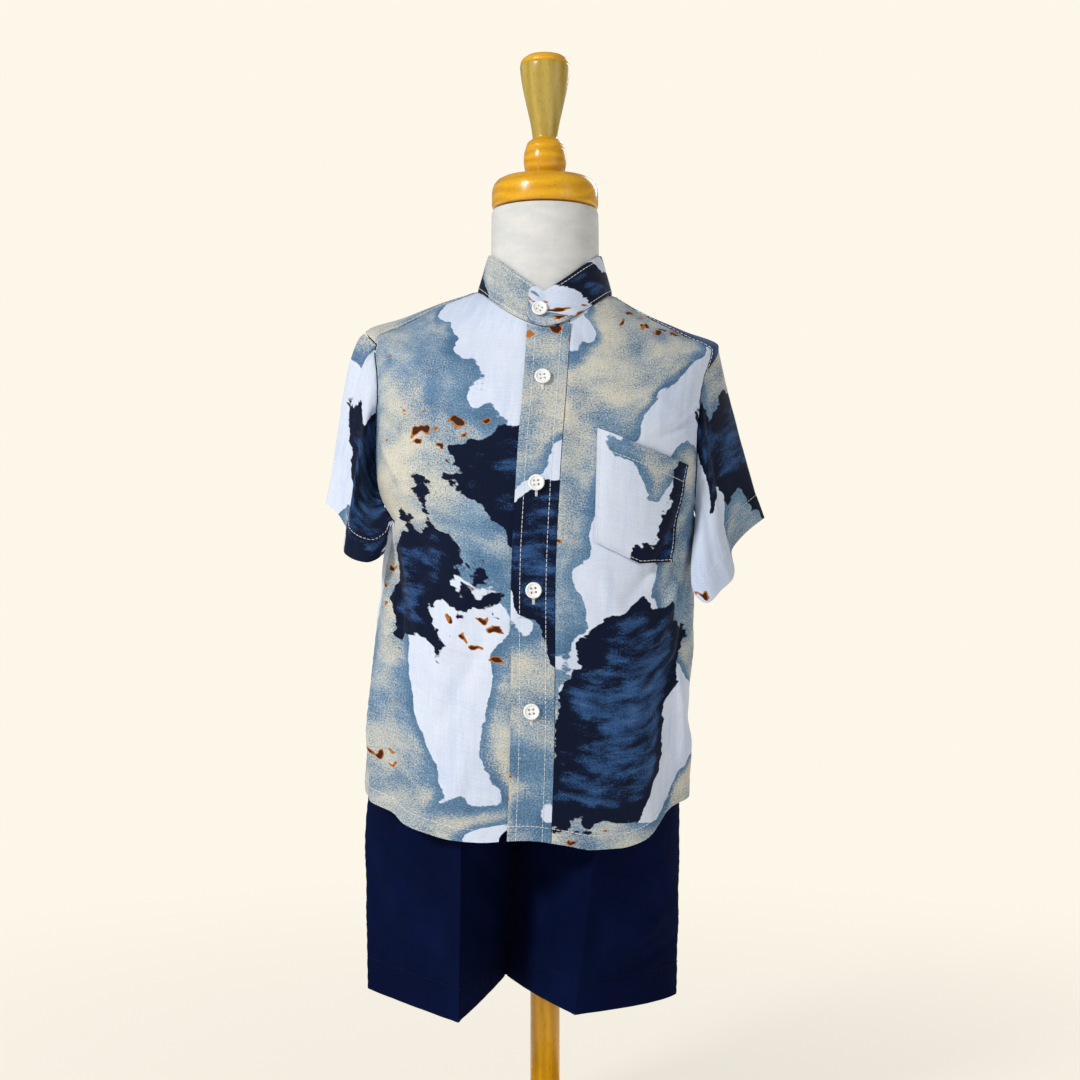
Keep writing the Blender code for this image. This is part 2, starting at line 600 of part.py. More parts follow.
def cuff_points(side, turn):
    """The cuff's edge as a smooth closed line through its table."""
    rows = SLEEVE_CUFFS[side]
    before, after = rows[-2:], rows[:2]
    turns = np.concatenate([column(before, "turn") - 360, column(rows, "turn"), column(after, "turn") + 360])
    sign = 1 if side == "left" else -1
    axes = []
    for name in ("x", "y", "z"):
        values = np.concatenate([column(before, name), column(rows, name), column(after, name)])
        axes.append(eased_through(turn, turns, values))
    return np.stack([sign * axes[0], axes[1], axes[2]], axis=-1)


def shirt_sleeve(side):
    """A tube whose lines spring out from the armhole seam and fall to the cuff."""
    rows = 8
    turn = np.arange(0, 361, ARMHOLE_STEP)
    sign = 1 if side == "left" else -1
    seam = armhole(side, turn)
    start, end = body_point(seam[:, 0], seam[:, 1]), cuff_points(side, turn)
    length = np.linalg.norm(end - start, axis=-1, keepdims=True)
    top = (1 + np.cos(np.radians(turn)))[:, None] / 2
    out = np.array([sign, 0.0, -0.45]) * top + np.array([sign, 0.0, -0.75]) * (1 - top)
    out /= np.linalg.norm(out, axis=-1, keepdims=True)
    fall = np.array([sign * 0.22, 0.0, -1.0])
    start = start + out * SEAM_GAP * 1.5
    t = np.linspace(0, 1, rows + 1)[None, :, None]
    a, b = (1 + 2 * t) * (1 - t) ** 2, t * (1 - t) ** 2
    c, d = t * t * (3 - 2 * t), t * t * (t - 1)
    leave, arrive = out * length * SLEEVE_SPRING[side], fall * length * 0.9
    points = a * start[:, None] + b * leave[:, None] + c * end[:, None] + d * arrive[:, None]
    normals = facing(points, points.reshape(-1, 3).mean(axis=0), tube=True)
    cloth(f"shirt_sleeve_{side}", points, normals, SHIRT_WALL, "batik_cotton", tube=True)


def collar_point(angle, share, out):
    """The collar band's outer face: share 0 is the neckline seam and 1 the top edge."""
    bottom = body_point(angle, NECKLINE)
    top = ring_point(COLLAR_TOP, angle)
    rise = np.array([0.0, 0.0, COLLAR_SEAM_GAP])
    point = (bottom + rise) * (1 - share) + top * share
    point[..., 0] += out * np.sin(np.radians(angle))
    point[..., 1] -= out * np.cos(np.radians(angle))
    return point


def collar_lift(angle):
    """The left end of the band rises over the right end, which lies under it. angle runs down from the right end."""
    over = smoothstep((-COLLAR_END_ANGLE * 0.2 - (angle + 318)) / 26)
    return (COLLAR_WALL + LAY_GAP) * over


COLLAR_END_ANGLE = math.degrees(math.asin(COLLAR_OVERLAP / SHIRT_RINGS[-1].half_width))


def shirt_collar():
    """One band round the neck, from its right end at the front, round the back, to its left end on top."""
    around, up = 40, 3
    angle = np.linspace(COLLAR_END_ANGLE, -360 - COLLAR_END_ANGLE, around + 1)[:, None]
    share = np.linspace(0, 1, up + 1)[None]
    angle, share = np.broadcast_arrays(angle, share)
    # the band's ends are rounded off at the top
    end = np.minimum(COLLAR_END_ANGLE - angle, angle + 360 + COLLAR_END_ANGLE)
    share = share * (1 - 0.22 * (1 - smoothstep(end / 9)) * share)
    points = collar_point(angle, share[..., None], collar_lift(angle))
    cloth("shirt_collar", points, facing(points, (0, 0, 530)), COLLAR_WALL, "batik_cotton")


def shirt_pocket():
    across, along = 8, 7
    top = straight(POCKET["top"][0], POCKET["top"][1], across)
    first = straight(POCKET["bottom"][0], POCKET["bottom"][1], 5)
    bottom = joined(first, straight(POCKET["bottom"][1], POCKET["bottom"][2], across - 5))
    places = patch(bottom, top, straight(bottom[0], top[0], along), straight(bottom[-1], top[-1], along))
    level = level_at_front_z(places[..., 1])
    for _ in range(4):  # the ring through a place is lower at the front than where the place is
        angle = angle_at_x(level, places[..., 0])
        level = level + places[..., 1] - body_point(angle, level)[..., 2]
    on_body("shirt_pocket", angle, level, SHIRT_WALL + LAY_GAP)


def button_mesh():
    """A four-hole button with a raised rim, lying on its back face at the origin."""
    radius, height = BUTTON_RADIUS, BUTTON_HEIGHT
    rows = (
        Turned(radius * 0.80, 0.0), Turned(radius, height * 0.5), Turned(radius * 0.86, height),
        Turned(radius * 0.62, height * 0.70),
    )
    blank = turned("button_blank", rows, "button_white", sides=16)
    holes = bmesh.new()
    hole_radius, hole_offset = 0.75, 1.35
    for x in (-hole_offset, hole_offset):
        for y in (-hole_offset, hole_offset):
            bmesh.ops.create_cone(
                holes, cap_ends=True, segments=4, radius1=hole_radius * MM, radius2=hole_radius * MM,
                depth=3 * height * MM, matrix=Matrix.Translation(Vector((x, y, height / 2)) * MM),
            )
    mesh = bpy.data.meshes.new("button_holes")
    holes.to_mesh(mesh)
    holes.free()
    cutter = bpy.data.objects.new("button_holes", mesh)
    bpy.context.scene.collection.objects.link(cutter)
    cutter.parent = blank.parent
    cut = blank.modifiers.new("holes", "BOOLEAN")
    cut.operation, cut.solver, cut.object = "DIFFERENCE", "EXACT", cutter
    bpy.context.view_layer.update()
    drilled = bpy.data.meshes.new_from_object(blank.evaluated_get(bpy.context.evaluated_depsgraph_get()))
    drilled.name = "button"
    bpy.data.objects.remove(blank)
    bpy.data.objects.remove(cutter)
    return drilled


def shirt_buttons():
    mesh = button_mesh()
    for place in BUTTONS:
        if place.name == "button_collar":
            angle = math.degrees(math.asin(place.x / SHIRT_RINGS[-1].half_width)) - 360
            low, high = collar_point(np.array([angle]), np.array([[0.0], [1.0]]), collar_lift(angle))
            share = (place.z - low[2]) / (high[2] - low[2])
            point = low * (1 - share) + high * share
            turn = collar_point(np.array([angle + 1]), np.array([[share]]), collar_lift(angle))[0] - point
            normal = np.cross(turn, high - low)
        else:
            level = float(level_at_front_z(place.z))
            angle = float(angle_at_x(level, place.x))
            normal = body_normal(np.array(angle), np.array(level))
            point = body_point(angle, level) + normal * (SHIRT_WALL + LAY_GAP)
        normal = Vector(normal / np.linalg.norm(normal))
        made = bpy.data.objects.new(place.name, mesh)
        bpy.context.scene.collection.objects.link(made)
        made.parent = bpy.data.objects["hung_from_stand"]
        made.location = (Vector(point) + normal * (LAY_GAP + BUTTON_SEAT)) * MM
        made.rotation_mode = "QUATERNION"
        made.rotation_quaternion = normal.to_track_quat("Z", "Y")


# The trousers
def bent(start, lead, end, count):
    """A line that leaves start towards lead and reaches end from it."""
    t = np.linspace(0, 1, count + 1)[:, None]
    return start * (1 - t) ** 2 + lead * 2 * t * (1 - t) + end * t * t


def trouser_row(row, side_count, inner_count):
    """Points from the side seam over the crease to the inner edge."""
    side = np.array([row.side_x, 0.0, row.side_z])
    crease = np.array([row.crease_x, row.crease_y, row.crease_z])
    inner = np.array([row.inner_x, row.inner_y, row.inner_z])
    side_lead = side + (crease - side) * (0.0, 0.59, 0.5)
    inner_lead = inner + (crease - inner) * (0.58 * row.turn, 0.48 * (1 - row.turn), 0.5)
    inner_lead[0] -= math.copysign(INSEAM_BOW, row.crease_y) * (1 - row.turn)
    return joined(bent(side, side_lead, crease, side_count), bent(crease, inner_lead, inner, inner_count))


def trouser_rows(table, heights):
    """The table read at more heights of the side seam."""
    columns = [read(table, "side_z", name, heights) for name in Leg._fields]
    return [Leg(*values) for values in zip(*columns)]


def trouser_panel(name, table):
    side_count, inner_count = 7, 6
    hem = table[0].side_z
    rows = trouser_rows(table, joined(np.linspace(hem, 122, 5), np.linspace(122, 274, 8)))
    points = np.stack([trouser_row(row, side_count, inner_count) for row in rows], axis=1)
    middle = ((table[0].side_x + table[0].inner_x) / 2, 0, 120)
    cloth(name, points, facing(points, middle), TROUSER_WALL, "navy_twill", seams=("u0", "u1", "v1"))


def trousers():
    for side in ("left", "right"):
        trouser_panel(f"trouser_front_{side}", TROUSER_FRONTS[side])
        trouser_panel(f"trouser_back_{side}", TROUSER_BACKS[side])
    angle = np.linspace(0, 360, 37)[:, None]
    low = WAIST.side_z + SEAM_GAP / 2
    height = np.linspace(low, low + WAISTBAND_HEIGHT, 3)[None]
    points = ring_point(WAIST, np.broadcast_to(angle, (37, 3)))
    points[..., 2] = height
    normals = facing(points, (0, 0, 288), tube=True)
    cloth("trouser_waistband", points, normals, WAISTBAND_WALL, "navy_twill", tube=True)


# The dress form and its stand
def dress_form():
    angle = np.linspace(0, 360, FORM_SIDES, endpoint=False)
    rings = [ring_point(ring, angle) for ring in FORM_RINGS]
    inset = SHIRT_WALL + FORM_SHOULDER_GAP
    for level in FORM_SHOULDER_LEVELS:
        rings.append(body_outside(angle, np.full(len(angle), level), np.full(len(angle), -inset)))
    sink = np.array([0.0, 0.0, inset])
    inset = COLLAR_WALL + FORM_COLLAR_GAP
    rings.append(collar_point(angle, 0.0, -inset) - sink)
    rings += [collar_point(angle, share, -inset) for share in FORM_COLLAR_SHARES]
    for neck in FORM_NECK:
        rings.append(ring_point(Ring(neck.z, neck.radius, neck.radius, neck.z, neck.radius, neck.z, 0, 2, 1), angle))
    new_object("form_torso", mesh_of("form_torso", lambda form: skinned(form, rings)), "form_cover")
    turned("form_neck_cap", NECK_CAP, "turned_wood")
    turned("form_finial", FINIAL, "turned_wood", sides=20)


def stand():
    base = turned("stand_base", BASE, "turned_wood", sides=32)
    base.parent = None
    top = HEM_HEIGHT + FORM_RINGS[0].side_z - LAY_GAP
    pole = turned(
        "stand_pole",
        (Turned(POLE_RADIUS, POLE_FOOT), Turned(POLE_RADIUS, (POLE_FOOT + top) / 2), Turned(POLE_RADIUS, top)),
        "turned_wood",
        sides=20,
    )
    pole.parent = None


def finishes():
    for name, (colour, roughness, metallic) in FINISHES.items():
        material = bpy.data.materials.new(name)
        material.use_nodes = True
        shader = material.node_tree.nodes["Principled BSDF"]
        shader.inputs["Base Color"].default_value = (*colour, 1.0)
        shader.inputs["Roughness"].default_value = roughness
        shader.inputs["Metallic"].default_value = metallic


def build():
    for old in list(bpy.data.objects):
        bpy.data.objects.remove(old)
    finishes()
    hung = bpy.data.objects.new("hung_from_stand", None)
    bpy.context.scene.collection.objects.link(hung)
    hung.location.z = HEM_HEIGHT * MM
    stand()
    dress_form()
    trousers()
    shirt_fronts()
    shirt_placket()
    shirt_back()
    shirt_yoke()
    for side in ("left", "right"):
        shirt_sleeve(side)
    shirt_collar()
    shirt_pocket()
    shirt_buttons()


build()
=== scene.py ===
"""Looks for the child's band-collar shirt and short trousers on a limbless dress form.

Left and right are the wearer's, so left is +X. The front faces -Y and +Z is up. Tables are in millimetres and
degrees. Heights in them are measured up from the trouser hem, which hangs HEM_HEIGHT above the floor. Angles
run round the body from the centre front (0) over the left side (90) and the centre back (180).
"""

import math
from collections import namedtuple

import bmesh
import bpy
import numpy as np
from mathutils import Matrix, Vector


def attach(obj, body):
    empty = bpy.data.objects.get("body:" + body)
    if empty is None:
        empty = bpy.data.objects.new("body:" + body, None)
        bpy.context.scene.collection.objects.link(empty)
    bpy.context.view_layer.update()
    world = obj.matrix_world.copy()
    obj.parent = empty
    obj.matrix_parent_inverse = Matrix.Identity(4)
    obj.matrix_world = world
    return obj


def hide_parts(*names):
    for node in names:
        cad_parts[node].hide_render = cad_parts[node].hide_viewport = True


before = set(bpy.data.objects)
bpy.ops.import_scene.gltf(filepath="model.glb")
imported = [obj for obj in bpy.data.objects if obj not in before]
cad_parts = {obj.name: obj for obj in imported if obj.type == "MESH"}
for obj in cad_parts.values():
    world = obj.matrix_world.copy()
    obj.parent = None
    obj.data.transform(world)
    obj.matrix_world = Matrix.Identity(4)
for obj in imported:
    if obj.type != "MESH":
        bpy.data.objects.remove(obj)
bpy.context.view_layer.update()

MM = 0.001
HEM_HEIGHT = 130.0
SHIRT_WALL = 1.2
TROUSER_WALL = 1.4
COLLAR_WALL = 1.6
WAISTBAND_WALL = 2.6
SEAM_GAP = 0.3
TROUSER_SEAM_GAP = 0.06
LAY_GAP = 0.4
COLLAR_SEAM_GAP = 0.5
COLLAR_OVERLAP = 13.0
PLACKET_WIDTH = 30.6
BUTTON_RADIUS = 5.75
BUTTON_HEIGHT = 2.3
POLE_RADIUS = 11.0
BASE_RADIUS = 115.0
HEM_STITCH_INSET = 0.9
THREAD_RADIUS = 0.20
HOLE_THREAD_RADIUS = 0.19
NAVY_THREAD_RADIUS = 0.22
MERGE_DISTANCE = 1e-6
# The sign of x on each side
SIDES = {"left": 1, "right": -1}


def table(kind, *rows):
    """Rows of numbers, read under a kind's column names."""
    return tuple(kind(*row) for row in rows)


# Levels on the shirt, told by their height at the side of the body
ARMPIT = 353.0
SHOULDER_TIP = 488.0
NECKLINE = 524.0

# One closed ring round the shirt body for each level
Ring = namedtuple("Ring", "side_z half_width front_depth front_z back_depth back_z shift squareness saddle")
SHIRT_RINGS = table(
    Ring,
    (100, 118.5, 90.0, 100, 85.0, 100, -14.5, 2.35, 4.0),
    (148, 119.3, 90.5, 148, 84.5, 148, -14.0, 2.35, 4.0),
    (200, 119.4, 91.5, 200, 83.0, 200, -13.0, 2.35, 4.0),
    (260, 119.0, 91.5, 260, 80.5, 260, -8.5, 2.35, 4.0),
    (310, 116.5, 89.5, 310, 78.5, 310, -5.0, 2.35, 4.0),
    (353, 116.5, 87.5, 353, 78.0, 353, -3.0, 2.35, 4.0),
    (386, 121.0, 86.0, 381, 77.5, 385, -4.0, 2.32, 4.0),
    (420, 123.0, 84.0, 409, 77.0, 417, -3.5, 2.30, 4.0),
    (465, 128.0, 77.5, 441, 72.0, 460, -2.5, 2.25, 4.0),
    (488, 132.0, 70.5, 460, 66.0, 482, -2.5, 2.20, 4.0),
    (500, 106.0, 66.0, 472, 61.0, 498, -1.5, 2.10, 3.6),
    (512, 77.5, 61.5, 482, 55.0, 516, -0.5, 2.05, 2.8),
    (524, 50.5, 57.0, 493, 47.5, 535, 0.0, 2.00, 1.6),
)
COLLAR_TOP = Ring(552.5, 42.6, 44.6, 520.6, 43.0, 562, 0.0, 2.00, 1.1)

# Soft folds that run down the shirt body, leaning by lean degrees on the way
Fold = namedtuple("Fold", "angle half_angle top bottom depth lean")
SHIRT_FOLDS = table(
    Fold,
    (-66, 7, 352, 96, 4.2, 4),
    (-52, 6, 300, 96, -3.0, 3),
    (-38, 8, 250, 96, 2.2, -4),
    (46, 8, 318, 96, -2.6, 12),
    (64, 7, 345, 96, 4.6, 8),
    (80, 6, 300, 96, -3.0, 2),
    (112, 8, 340, 96, 3.6, 6),
    (130, 8, 390, 96, -3.2, 4),
    (150, 9, 430, 96, 3.8, 3),
    (172, 10, 440, 96, -3.0, -2),
    (196, 9, 430, 96, 3.6, -3),
    (218, 8, 400, 96, -3.0, -4),
    (240, 8, 350, 96, 3.8, -5),
)

# Small creases in the shirt body: from one place to another, a ridge or, where depth is negative, a trough
Crease = namedtuple("Crease", "angle level end_angle end_level half_width depth")
CREASE_STRENGTH = 2.8
# About how wide a degree is on the shirt's surface
MM_PER_DEGREE = 2.0
SHIRT_CREASES = table(
    Crease,
    (-30, 262, -12, 252, 2.2, -0.7),
    (-50, 196, -34, 206, 2.4, 0.6),
    (18, 232, 34, 240, 2.4, -0.6),
    (-70, 250, -62, 160, 4.0, 1.3),
    (-78, 240, -72, 165, 4.0, -1.2),
    (74, 300, 68, 190, 4.0, -1.6),
    (70, 210, 74, 160, 4.0, 1.2),
    (50, 330, 60, 290, 4.0, -1.0),
    (-58, 362, -30, 300, 5.0, -0.9),
    (-60, 350, -40, 268, 6.0, 1.2),
    (-62, 330, -48, 238, 5.0, -1.0),
    (-20, 330, -34, 240, 7.0, 0.8),
    (-12, 290, -30, 205, 6.0, -0.8),
    (-66, 300, -44, 190, 5.0, 1.0),
    (-70, 440, -46, 400, 5.0, -0.8),
    (-70, 415, -50, 372, 5.0, 0.9),
    (-24, 470, -44, 430, 8.0, -0.7),
    (-16, 200, -26, 150, 6.0, 0.7),
    (58, 372, 30, 300, 5.0, -1.0),
    (62, 350, 42, 262, 5.0, 1.2),
    (70, 330, 50, 226, 5.0, -1.1),
    (20, 310, 38, 210, 7.0, 0.8),
    (64, 446, 40, 424, 5.0, -0.7),
    (56, 262, 66, 168, 4.0, 1.2),
    (16, 250, 26, 160, 6.0, -0.7),
    (28, 466, 46, 446, 7.0, 0.7),
    (102, 400, 140, 330, 6.0, -1.1),
    (104, 370, 146, 280, 7.0, 1.2),
    (258, 400, 220, 330, 6.0, -1.1),
    (256, 370, 214, 280, 7.0, 1.2),
    (124, 310, 134, 170, 5.0, 1.2),
    (160, 340, 153, 190, 5.5, -1.2),
    (176, 260, 187, 160, 6.0, 0.9),
    (200, 330, 208, 180, 5.5, 1.2),
    (234, 310, 226, 180, 5.0, -1.1),
    (150, 460, 172, 380, 8.0, 0.8),
    (208, 460, 186, 380, 8.0, 0.8),
)

Hem = namedtuple("Hem", "angle z")
SHIRT_HEM = table(
    Hem, (-270, 155), (-225, 147), (-180, 134), (-135, 147), (-90, 155), (-68, 153), (-55, 147.5),
    (-43, 140), (-33, 134.5), (-22, 130), (-12, 129), (0, 131), (9, 128), (20, 123.5), (30, 123.5),
    (42, 127.5), (52, 137.5), (62, 149), (75, 154), (90, 155), (135, 147), (180, 134), (225, 147),
    (270, 155),
)
SHIRT_HEM_WIDTH = 11.0
SHIRT_HEM_WALL = 0.7
SHIRT_HEM_STITCHING = ("v0", SHIRT_HEM_WIDTH - HEM_STITCH_INSET)

Placket = namedtuple("Placket", "level x")
PLACKET_LINE = table(Placket, (100, -12.6), (220, -8.9), (300, -8.7), (380, -5.7), (524, 2.6))
RIGHT_FRONT_UNDER = 8.0
RIGHT_FRONT_SWING = 29.0
SWING_HEIGHT = 26.0
PLACKET_EASE = 16.0
PLACKET_STITCH_INSET = 6.2

SideSeam = namedtuple("SideSeam", "at_armpit at_waist at_hem")
SIDE_SEAMS = {"left": SideSeam(80.0, 88.0, 90.0), "right": SideSeam(64.0, 84.0, 90.0)}
# How far each armhole's edge comes in front of the side, by its turn from the shoulder down to the armpit,
# and how far it goes behind the side at most, all in degrees round the body
ArmholeFront = namedtuple("ArmholeFront", "turn reach")
ARMHOLE_FRONTS = {
    "left": table(
        ArmholeFront, (0, 0), (20, 6), (43, 24), (60, 25), (80, 23), (100, 22), (130, 18), (155, 11),
        (180, 0),
    ),
    "right": table(
        ArmholeFront, (0, 0), (16, 25), (36, 22), (68, 17), (99, 5), (125, 1), (150, 0.5), (180, 0),
    ),
}
ARMHOLE_BACKS = {"left": 26.0, "right": 25.0}
ARMHOLE_SQUARENESS = 0.8
ARMPIT_SHARPNESS = 8
# Where the yoke's seams meet the armhole, by turn, and the neck, by angle
YOKE_FRONT_TURNS = {"left": 43.0, "right": 16.0}
YOKE_BACK_TURN = 30.0
YOKE_NECK_ANGLE = 80.0
# One shoulder is a little higher than the other: how much each is raised, and how much more at its tip
ShoulderTilt = namedtuple("ShoulderTilt", "raised tip_raised")
SHOULDER_TILTS = {"left": ShoulderTilt(-4.2, 0.8), "right": ShoulderTilt(4.5, 2.0)}

Cuff = namedtuple("Cuff", "turn x y z")
SLEEVE_CUFFS = {
    "right": table(
        Cuff, (0, 166, 16, 368), (38, 153, -2, 357), (62, 147, -20, 346), (95, 145, -46, 331),
        (135, 127, -60, 324), (162, 115, -50, 333), (185, 119, -26, 347), (225, 125, 6, 350),
        (262, 130, 44, 352), (305, 147, 58, 358), (335, 161, 42, 365),
    ),
    "left": table(
        Cuff, (0, 167, 20, 357), (38, 150, 0, 345), (62, 139, -16, 332), (95, 136, -42, 313),
        (116, 126, -55, 303.5), (135, 115, -62, 295), (150, 106, -57, 303.5), (165, 107, -46, 312),
        (185, 114, -24, 330), (225, 120, 8, 340), (262, 126, 46, 342), (305, 146, 60, 347),
        (335, 162, 45, 354),
    ),
}
# How each sleeve leaves the shoulder: outward and upward shares of its direction at the top, how far it
# holds that direction at the top and at the armpit, and how far out it hangs at its hem
SleeveHang = namedtuple("SleeveHang", "top_out top_up top_spring low_spring hem_out hem_spring")
SLEEVE_HANGS = {
    "right": SleeveHang(1.0, -0.45, 0.38, 0.38, 0.22, 0.9),
    "left": SleeveHang(0.10, -1.0, 0.28, 0.10, 0.40, 0.55),
}
SLEEVE_HEM_WIDTH = 19.5
SLEEVE_HEM_WALL = 0.6
# Folds along a sleeve, by their turn round it
SleeveFold = namedtuple("SleeveFold", "turn half_turn depth lean")
SLEEVE_FOLDS = {
    "right": table(
        SleeveFold, (52, 9, -2.6, 14), (76, 10, 1.6, 8), (110, 9, -1.6, -6), (310, 12, -2.0, 10),
        (250, 12, 1.5, -8), (20, 10, 1.0, -10),
    ),
    "left": table(
        SleeveFold, (58, 9, -2.6, 8), (84, 9, 2.0, 4), (112, 9, -1.8, 0), (308, 12, -2.0, -8),
        (250, 12, 1.5, 8), (24, 10, 1.0, 12),
    ),
}

PocketCorner = namedtuple("PocketCorner", "x z")
POCKET = {
    "top": table(PocketCorner, (36.5, 418.5), (101.5, 394.0)),
    "bottom": table(PocketCorner, (34.0, 338.5), (66.0, 323.5), (89.0, 324.5)),
}
POCKET_MOUTH_HEM = 13.0
POCKET_STITCH_INSET = 1.8

ButtonPlace = namedtuple("ButtonPlace", "name x z")
COLLAR_BUTTON = "button_collar"
BUTTONS = table(
    ButtonPlace,
    ("button_collar", -4.3, 505.6),
    ("button_placket_1", -1.9, 454.3),
    ("button_placket_2", -6.3, 380.0),
    ("button_placket_3", -8.2, 304.9),
    ("button_placket_4", -9.7, 221.0),
)
BUTTON_SEAT = 0.25
HOLE_RADIUS = 0.78
HOLE_OFFSET = 1.45
# A turned shape, as the radius at each height
Turned = namedtuple("Turned", "radius z")
# A button's face from its back's edge over the rim into the dish, as shares of its radius and its height
BUTTON_PROFILE = table(
    Turned, (0.72, 0.0), (0.84, 0.1 / BUTTON_HEIGHT), (0.95, 0.26), (1, 0.52), (0.985, 0.74), (0.93, 0.92),
    (0.87, 1), (0.79, 0.97), (0.72, 0.80), (0.66, 0.62), (0.55, 0.54), (0.25, 0.52),
)

# Each leg from its hem up: its side seam, and its inner edge, which turns into the middle seam
LegSeam = namedtuple("LegSeam", "side_z side_x inner_x turn")
LEG_SEAMS = {
    "right": table(
        LegSeam, (4, -133.2, -29.8, 0.0), (60, -134.4, -25.7, 0.0), (122, -135.0, -21.8, 0.0),
        (146, -133.2, -22.2, 0.15), (168, -130.0, -20.5, 0.5), (195, -122.0, -16.0, 0.9),
        (232, -109.0, -9.0, 1.0), (274, -91.8, -1.5, 1.0),
    ),
    "left": table(
        LegSeam, (0, 99.0, -29.0, 0.0), (60, 100.5, -25.0, 0.0), (122, 101.0, -21.0, 0.0),
        (146, 101.0, -21.2, 0.15), (168, 101.0, -19.5, 0.5), (195, 100.0, -15.0, 0.9),
        (232, 97.0, -8.0, 1.0), (274, 91.8, -0.5, 1.0),
    ),
}
# The depth and the height of the inner edge at the same places
InnerEdge = namedtuple("InnerEdge", "y z")
INNER_EDGES = {
    "front": table(
        InnerEdge, (0.0, 14), (0.0, 68), (0.0, 128), (-36.0, 132), (-64.0, 147), (-79.0, 182), (-82.0, 228),
        (-77.5, 274),
    ),
    "back": table(
        InnerEdge, (0.0, 14), (0.0, 68), (0.0, 128), (34.0, 131), (60.0, 150), (72.0, 186), (71.5, 230),
        (69.0, 274),
    ),
}
# And each panel's crease or, at the back, its fullest line
PanelCrease = namedtuple("PanelCrease", "x y z")
PANEL_CREASES = {
    ("front", "right"): table(
        PanelCrease, (-61.5, -72.0, -1), (-60.5, -73.5, 60), (-59.5, -75.5, 125), (-59.0, -77.5, 139),
        (-59.0, -79.0, 157.5), (-60.0, -78.0, 188.5), (-62.0, -69.5, 230), (-63.5, -56.0, 274),
    ),
    ("front", "left"): table(
        PanelCrease, (21.0, -63.0, 2), (28.0, -69.0, 60), (35.0, -74.5, 125), (37.0, -77.5, 139),
        (40.0, -79.0, 157.5), (46.0, -79.0, 188.5), (55.0, -71.5, 230), (63.5, -56.0, 274),
    ),
    ("back", "right"): table(
        PanelCrease, (-79.0, 66.0, 3), (-77.0, 67.0, 62), (-74.0, 68.0, 125), (-72.0, 68.5, 138.5),
        (-70.0, 68.5, 159), (-68.0, 66.5, 190.5), (-66.0, 58.5, 231), (-63.5, 50.0, 274),
    ),
    ("back", "left"): table(
        PanelCrease, (42.0, 66.0, 3), (43.0, 67.0, 62), (44.0, 68.0, 125), (45.0, 68.5, 138.5),
        (47.0, 68.5, 159), (51.0, 66.5, 190.5), (58.0, 58.5, 231), (63.5, 50.0, 274),
    ),
}
Leg = namedtuple("Leg", "side_z side_x crease_x crease_y crease_z inner_x inner_y inner_z turn")
INSEAM_BOW = 15.0
# How flat each leg is pressed between its side seam and its crease, at the hem: 0 is round, 1 is flat
LEG_FLATNESS = {"right": 0.95, "left": 0.45}
TROUSER_HEM_WIDTH = 25.0
TROUSER_HEM_WALL = 0.9
# Soft folds in the trousers, from one place to another in the view from the front
Drag = namedtuple("Drag", "x z end_x end_z half_width depth")
TROUSER_FOLDS = {
    ("front", "right"): table(
        Drag, (-128, 118, -84, 104, 4.0, 1.8), (-92, 128, -76, 78, 5.0, -2.2),
        (-120, 96, -92, 30, 7.0, 1.8), (-52, 118, -34, 84, 4.0, -1.8), (-54, 92, -34, 50, 5.0, 2.0),
        (-112, 128, -66, 126, 4.0, -1.2),
    ),
    ("front", "left"): table(
        Drag, (4, 112, 50, 82, 7.0, 2.2), (12, 84, 44, 70, 6.0, -1.8), (56, 40, 92, 66, 5.0, 2.4),
        (62, 26, 98, 44, 4.0, -1.8), (70, 120, 92, 70, 5.0, -1.4), (-12, 104, -4, 40, 5.0, 1.5),
    ),
    ("back", "right"): table(Drag, (-124, 120, -70, 60, 6.0, 1.8), (-60, 130, -40, 60, 6.0, -1.8)),
    ("back", "left"): table(Drag, (92, 120, 40, 60, 6.0, 1.8), (30, 130, -8, 60, 6.0, -1.8)),
}
WAISTBAND_HEIGHT = 28.0
WAISTBAND_GATHERS = 60
WAIST = Ring(274, 91.8, 78.0, 274, 69.5, 274, 0.0, 2.05, 2.0)

FORM_RINGS = table(
    Ring,
    (146, 62.0, 44.0, 146, 40.0, 146, 0.0, 2.1, 2.0),
    (150, 73.0, 53.0, 150, 48.0, 150, 0.0, 2.1, 2.0),
    (162, 81.0, 61.0, 162, 56.0, 162, 0.0, 2.1, 2.0),
    (185, 86.5, 67.0, 185, 61.0, 185, 0.0, 2.1, 2.0),
    (215, 88.5, 71.0, 215, 63.5, 215, 0.0, 2.1, 2.0),
    (250, 88.0, 73.5, 250, 65.0, 250, 0.0, 2.05, 2.0),
    (302, 88.6, 74.8, 302, 66.3, 302, 0.0, 2.05, 2.0),
    (340, 92.5, 74.0, 336, 67.5, 338, 0.0, 2.1, 2.0),
    (380, 98.0, 73.0, 370, 68.5, 375, 0.0, 2.15, 3.0),
    (420, 105.0, 71.0, 404, 68.0, 412, 0.0, 2.2, 3.5),
    (455, 113.0, 67.0, 432, 65.0, 446, 0.0, 2.2, 3.8),
    (472, 115.0, 63.0, 446, 61.5, 463, 0.0, 2.2, 4.0),
    (482, 112.0, 60.5, 454, 59.0, 474, 0.0, 2.2, 4.0),
)
FORM_SHOULDER_LEVELS = (496.0, 503.0, 510.0, 517.0)
FORM_SHOULDER_GAP = 3.2
FORM_COLLAR_SHARES = (0.2, 0.6, 1.0)
FORM_COLLAR_GAP = 0.6
NeckRing = namedtuple("NeckRing", "z radius")
FORM_NECK = table(NeckRing, (572, 40.2), (582, 40.0), (585.6, 39.6), (586.9, 38.4), (587.5, 36.0))

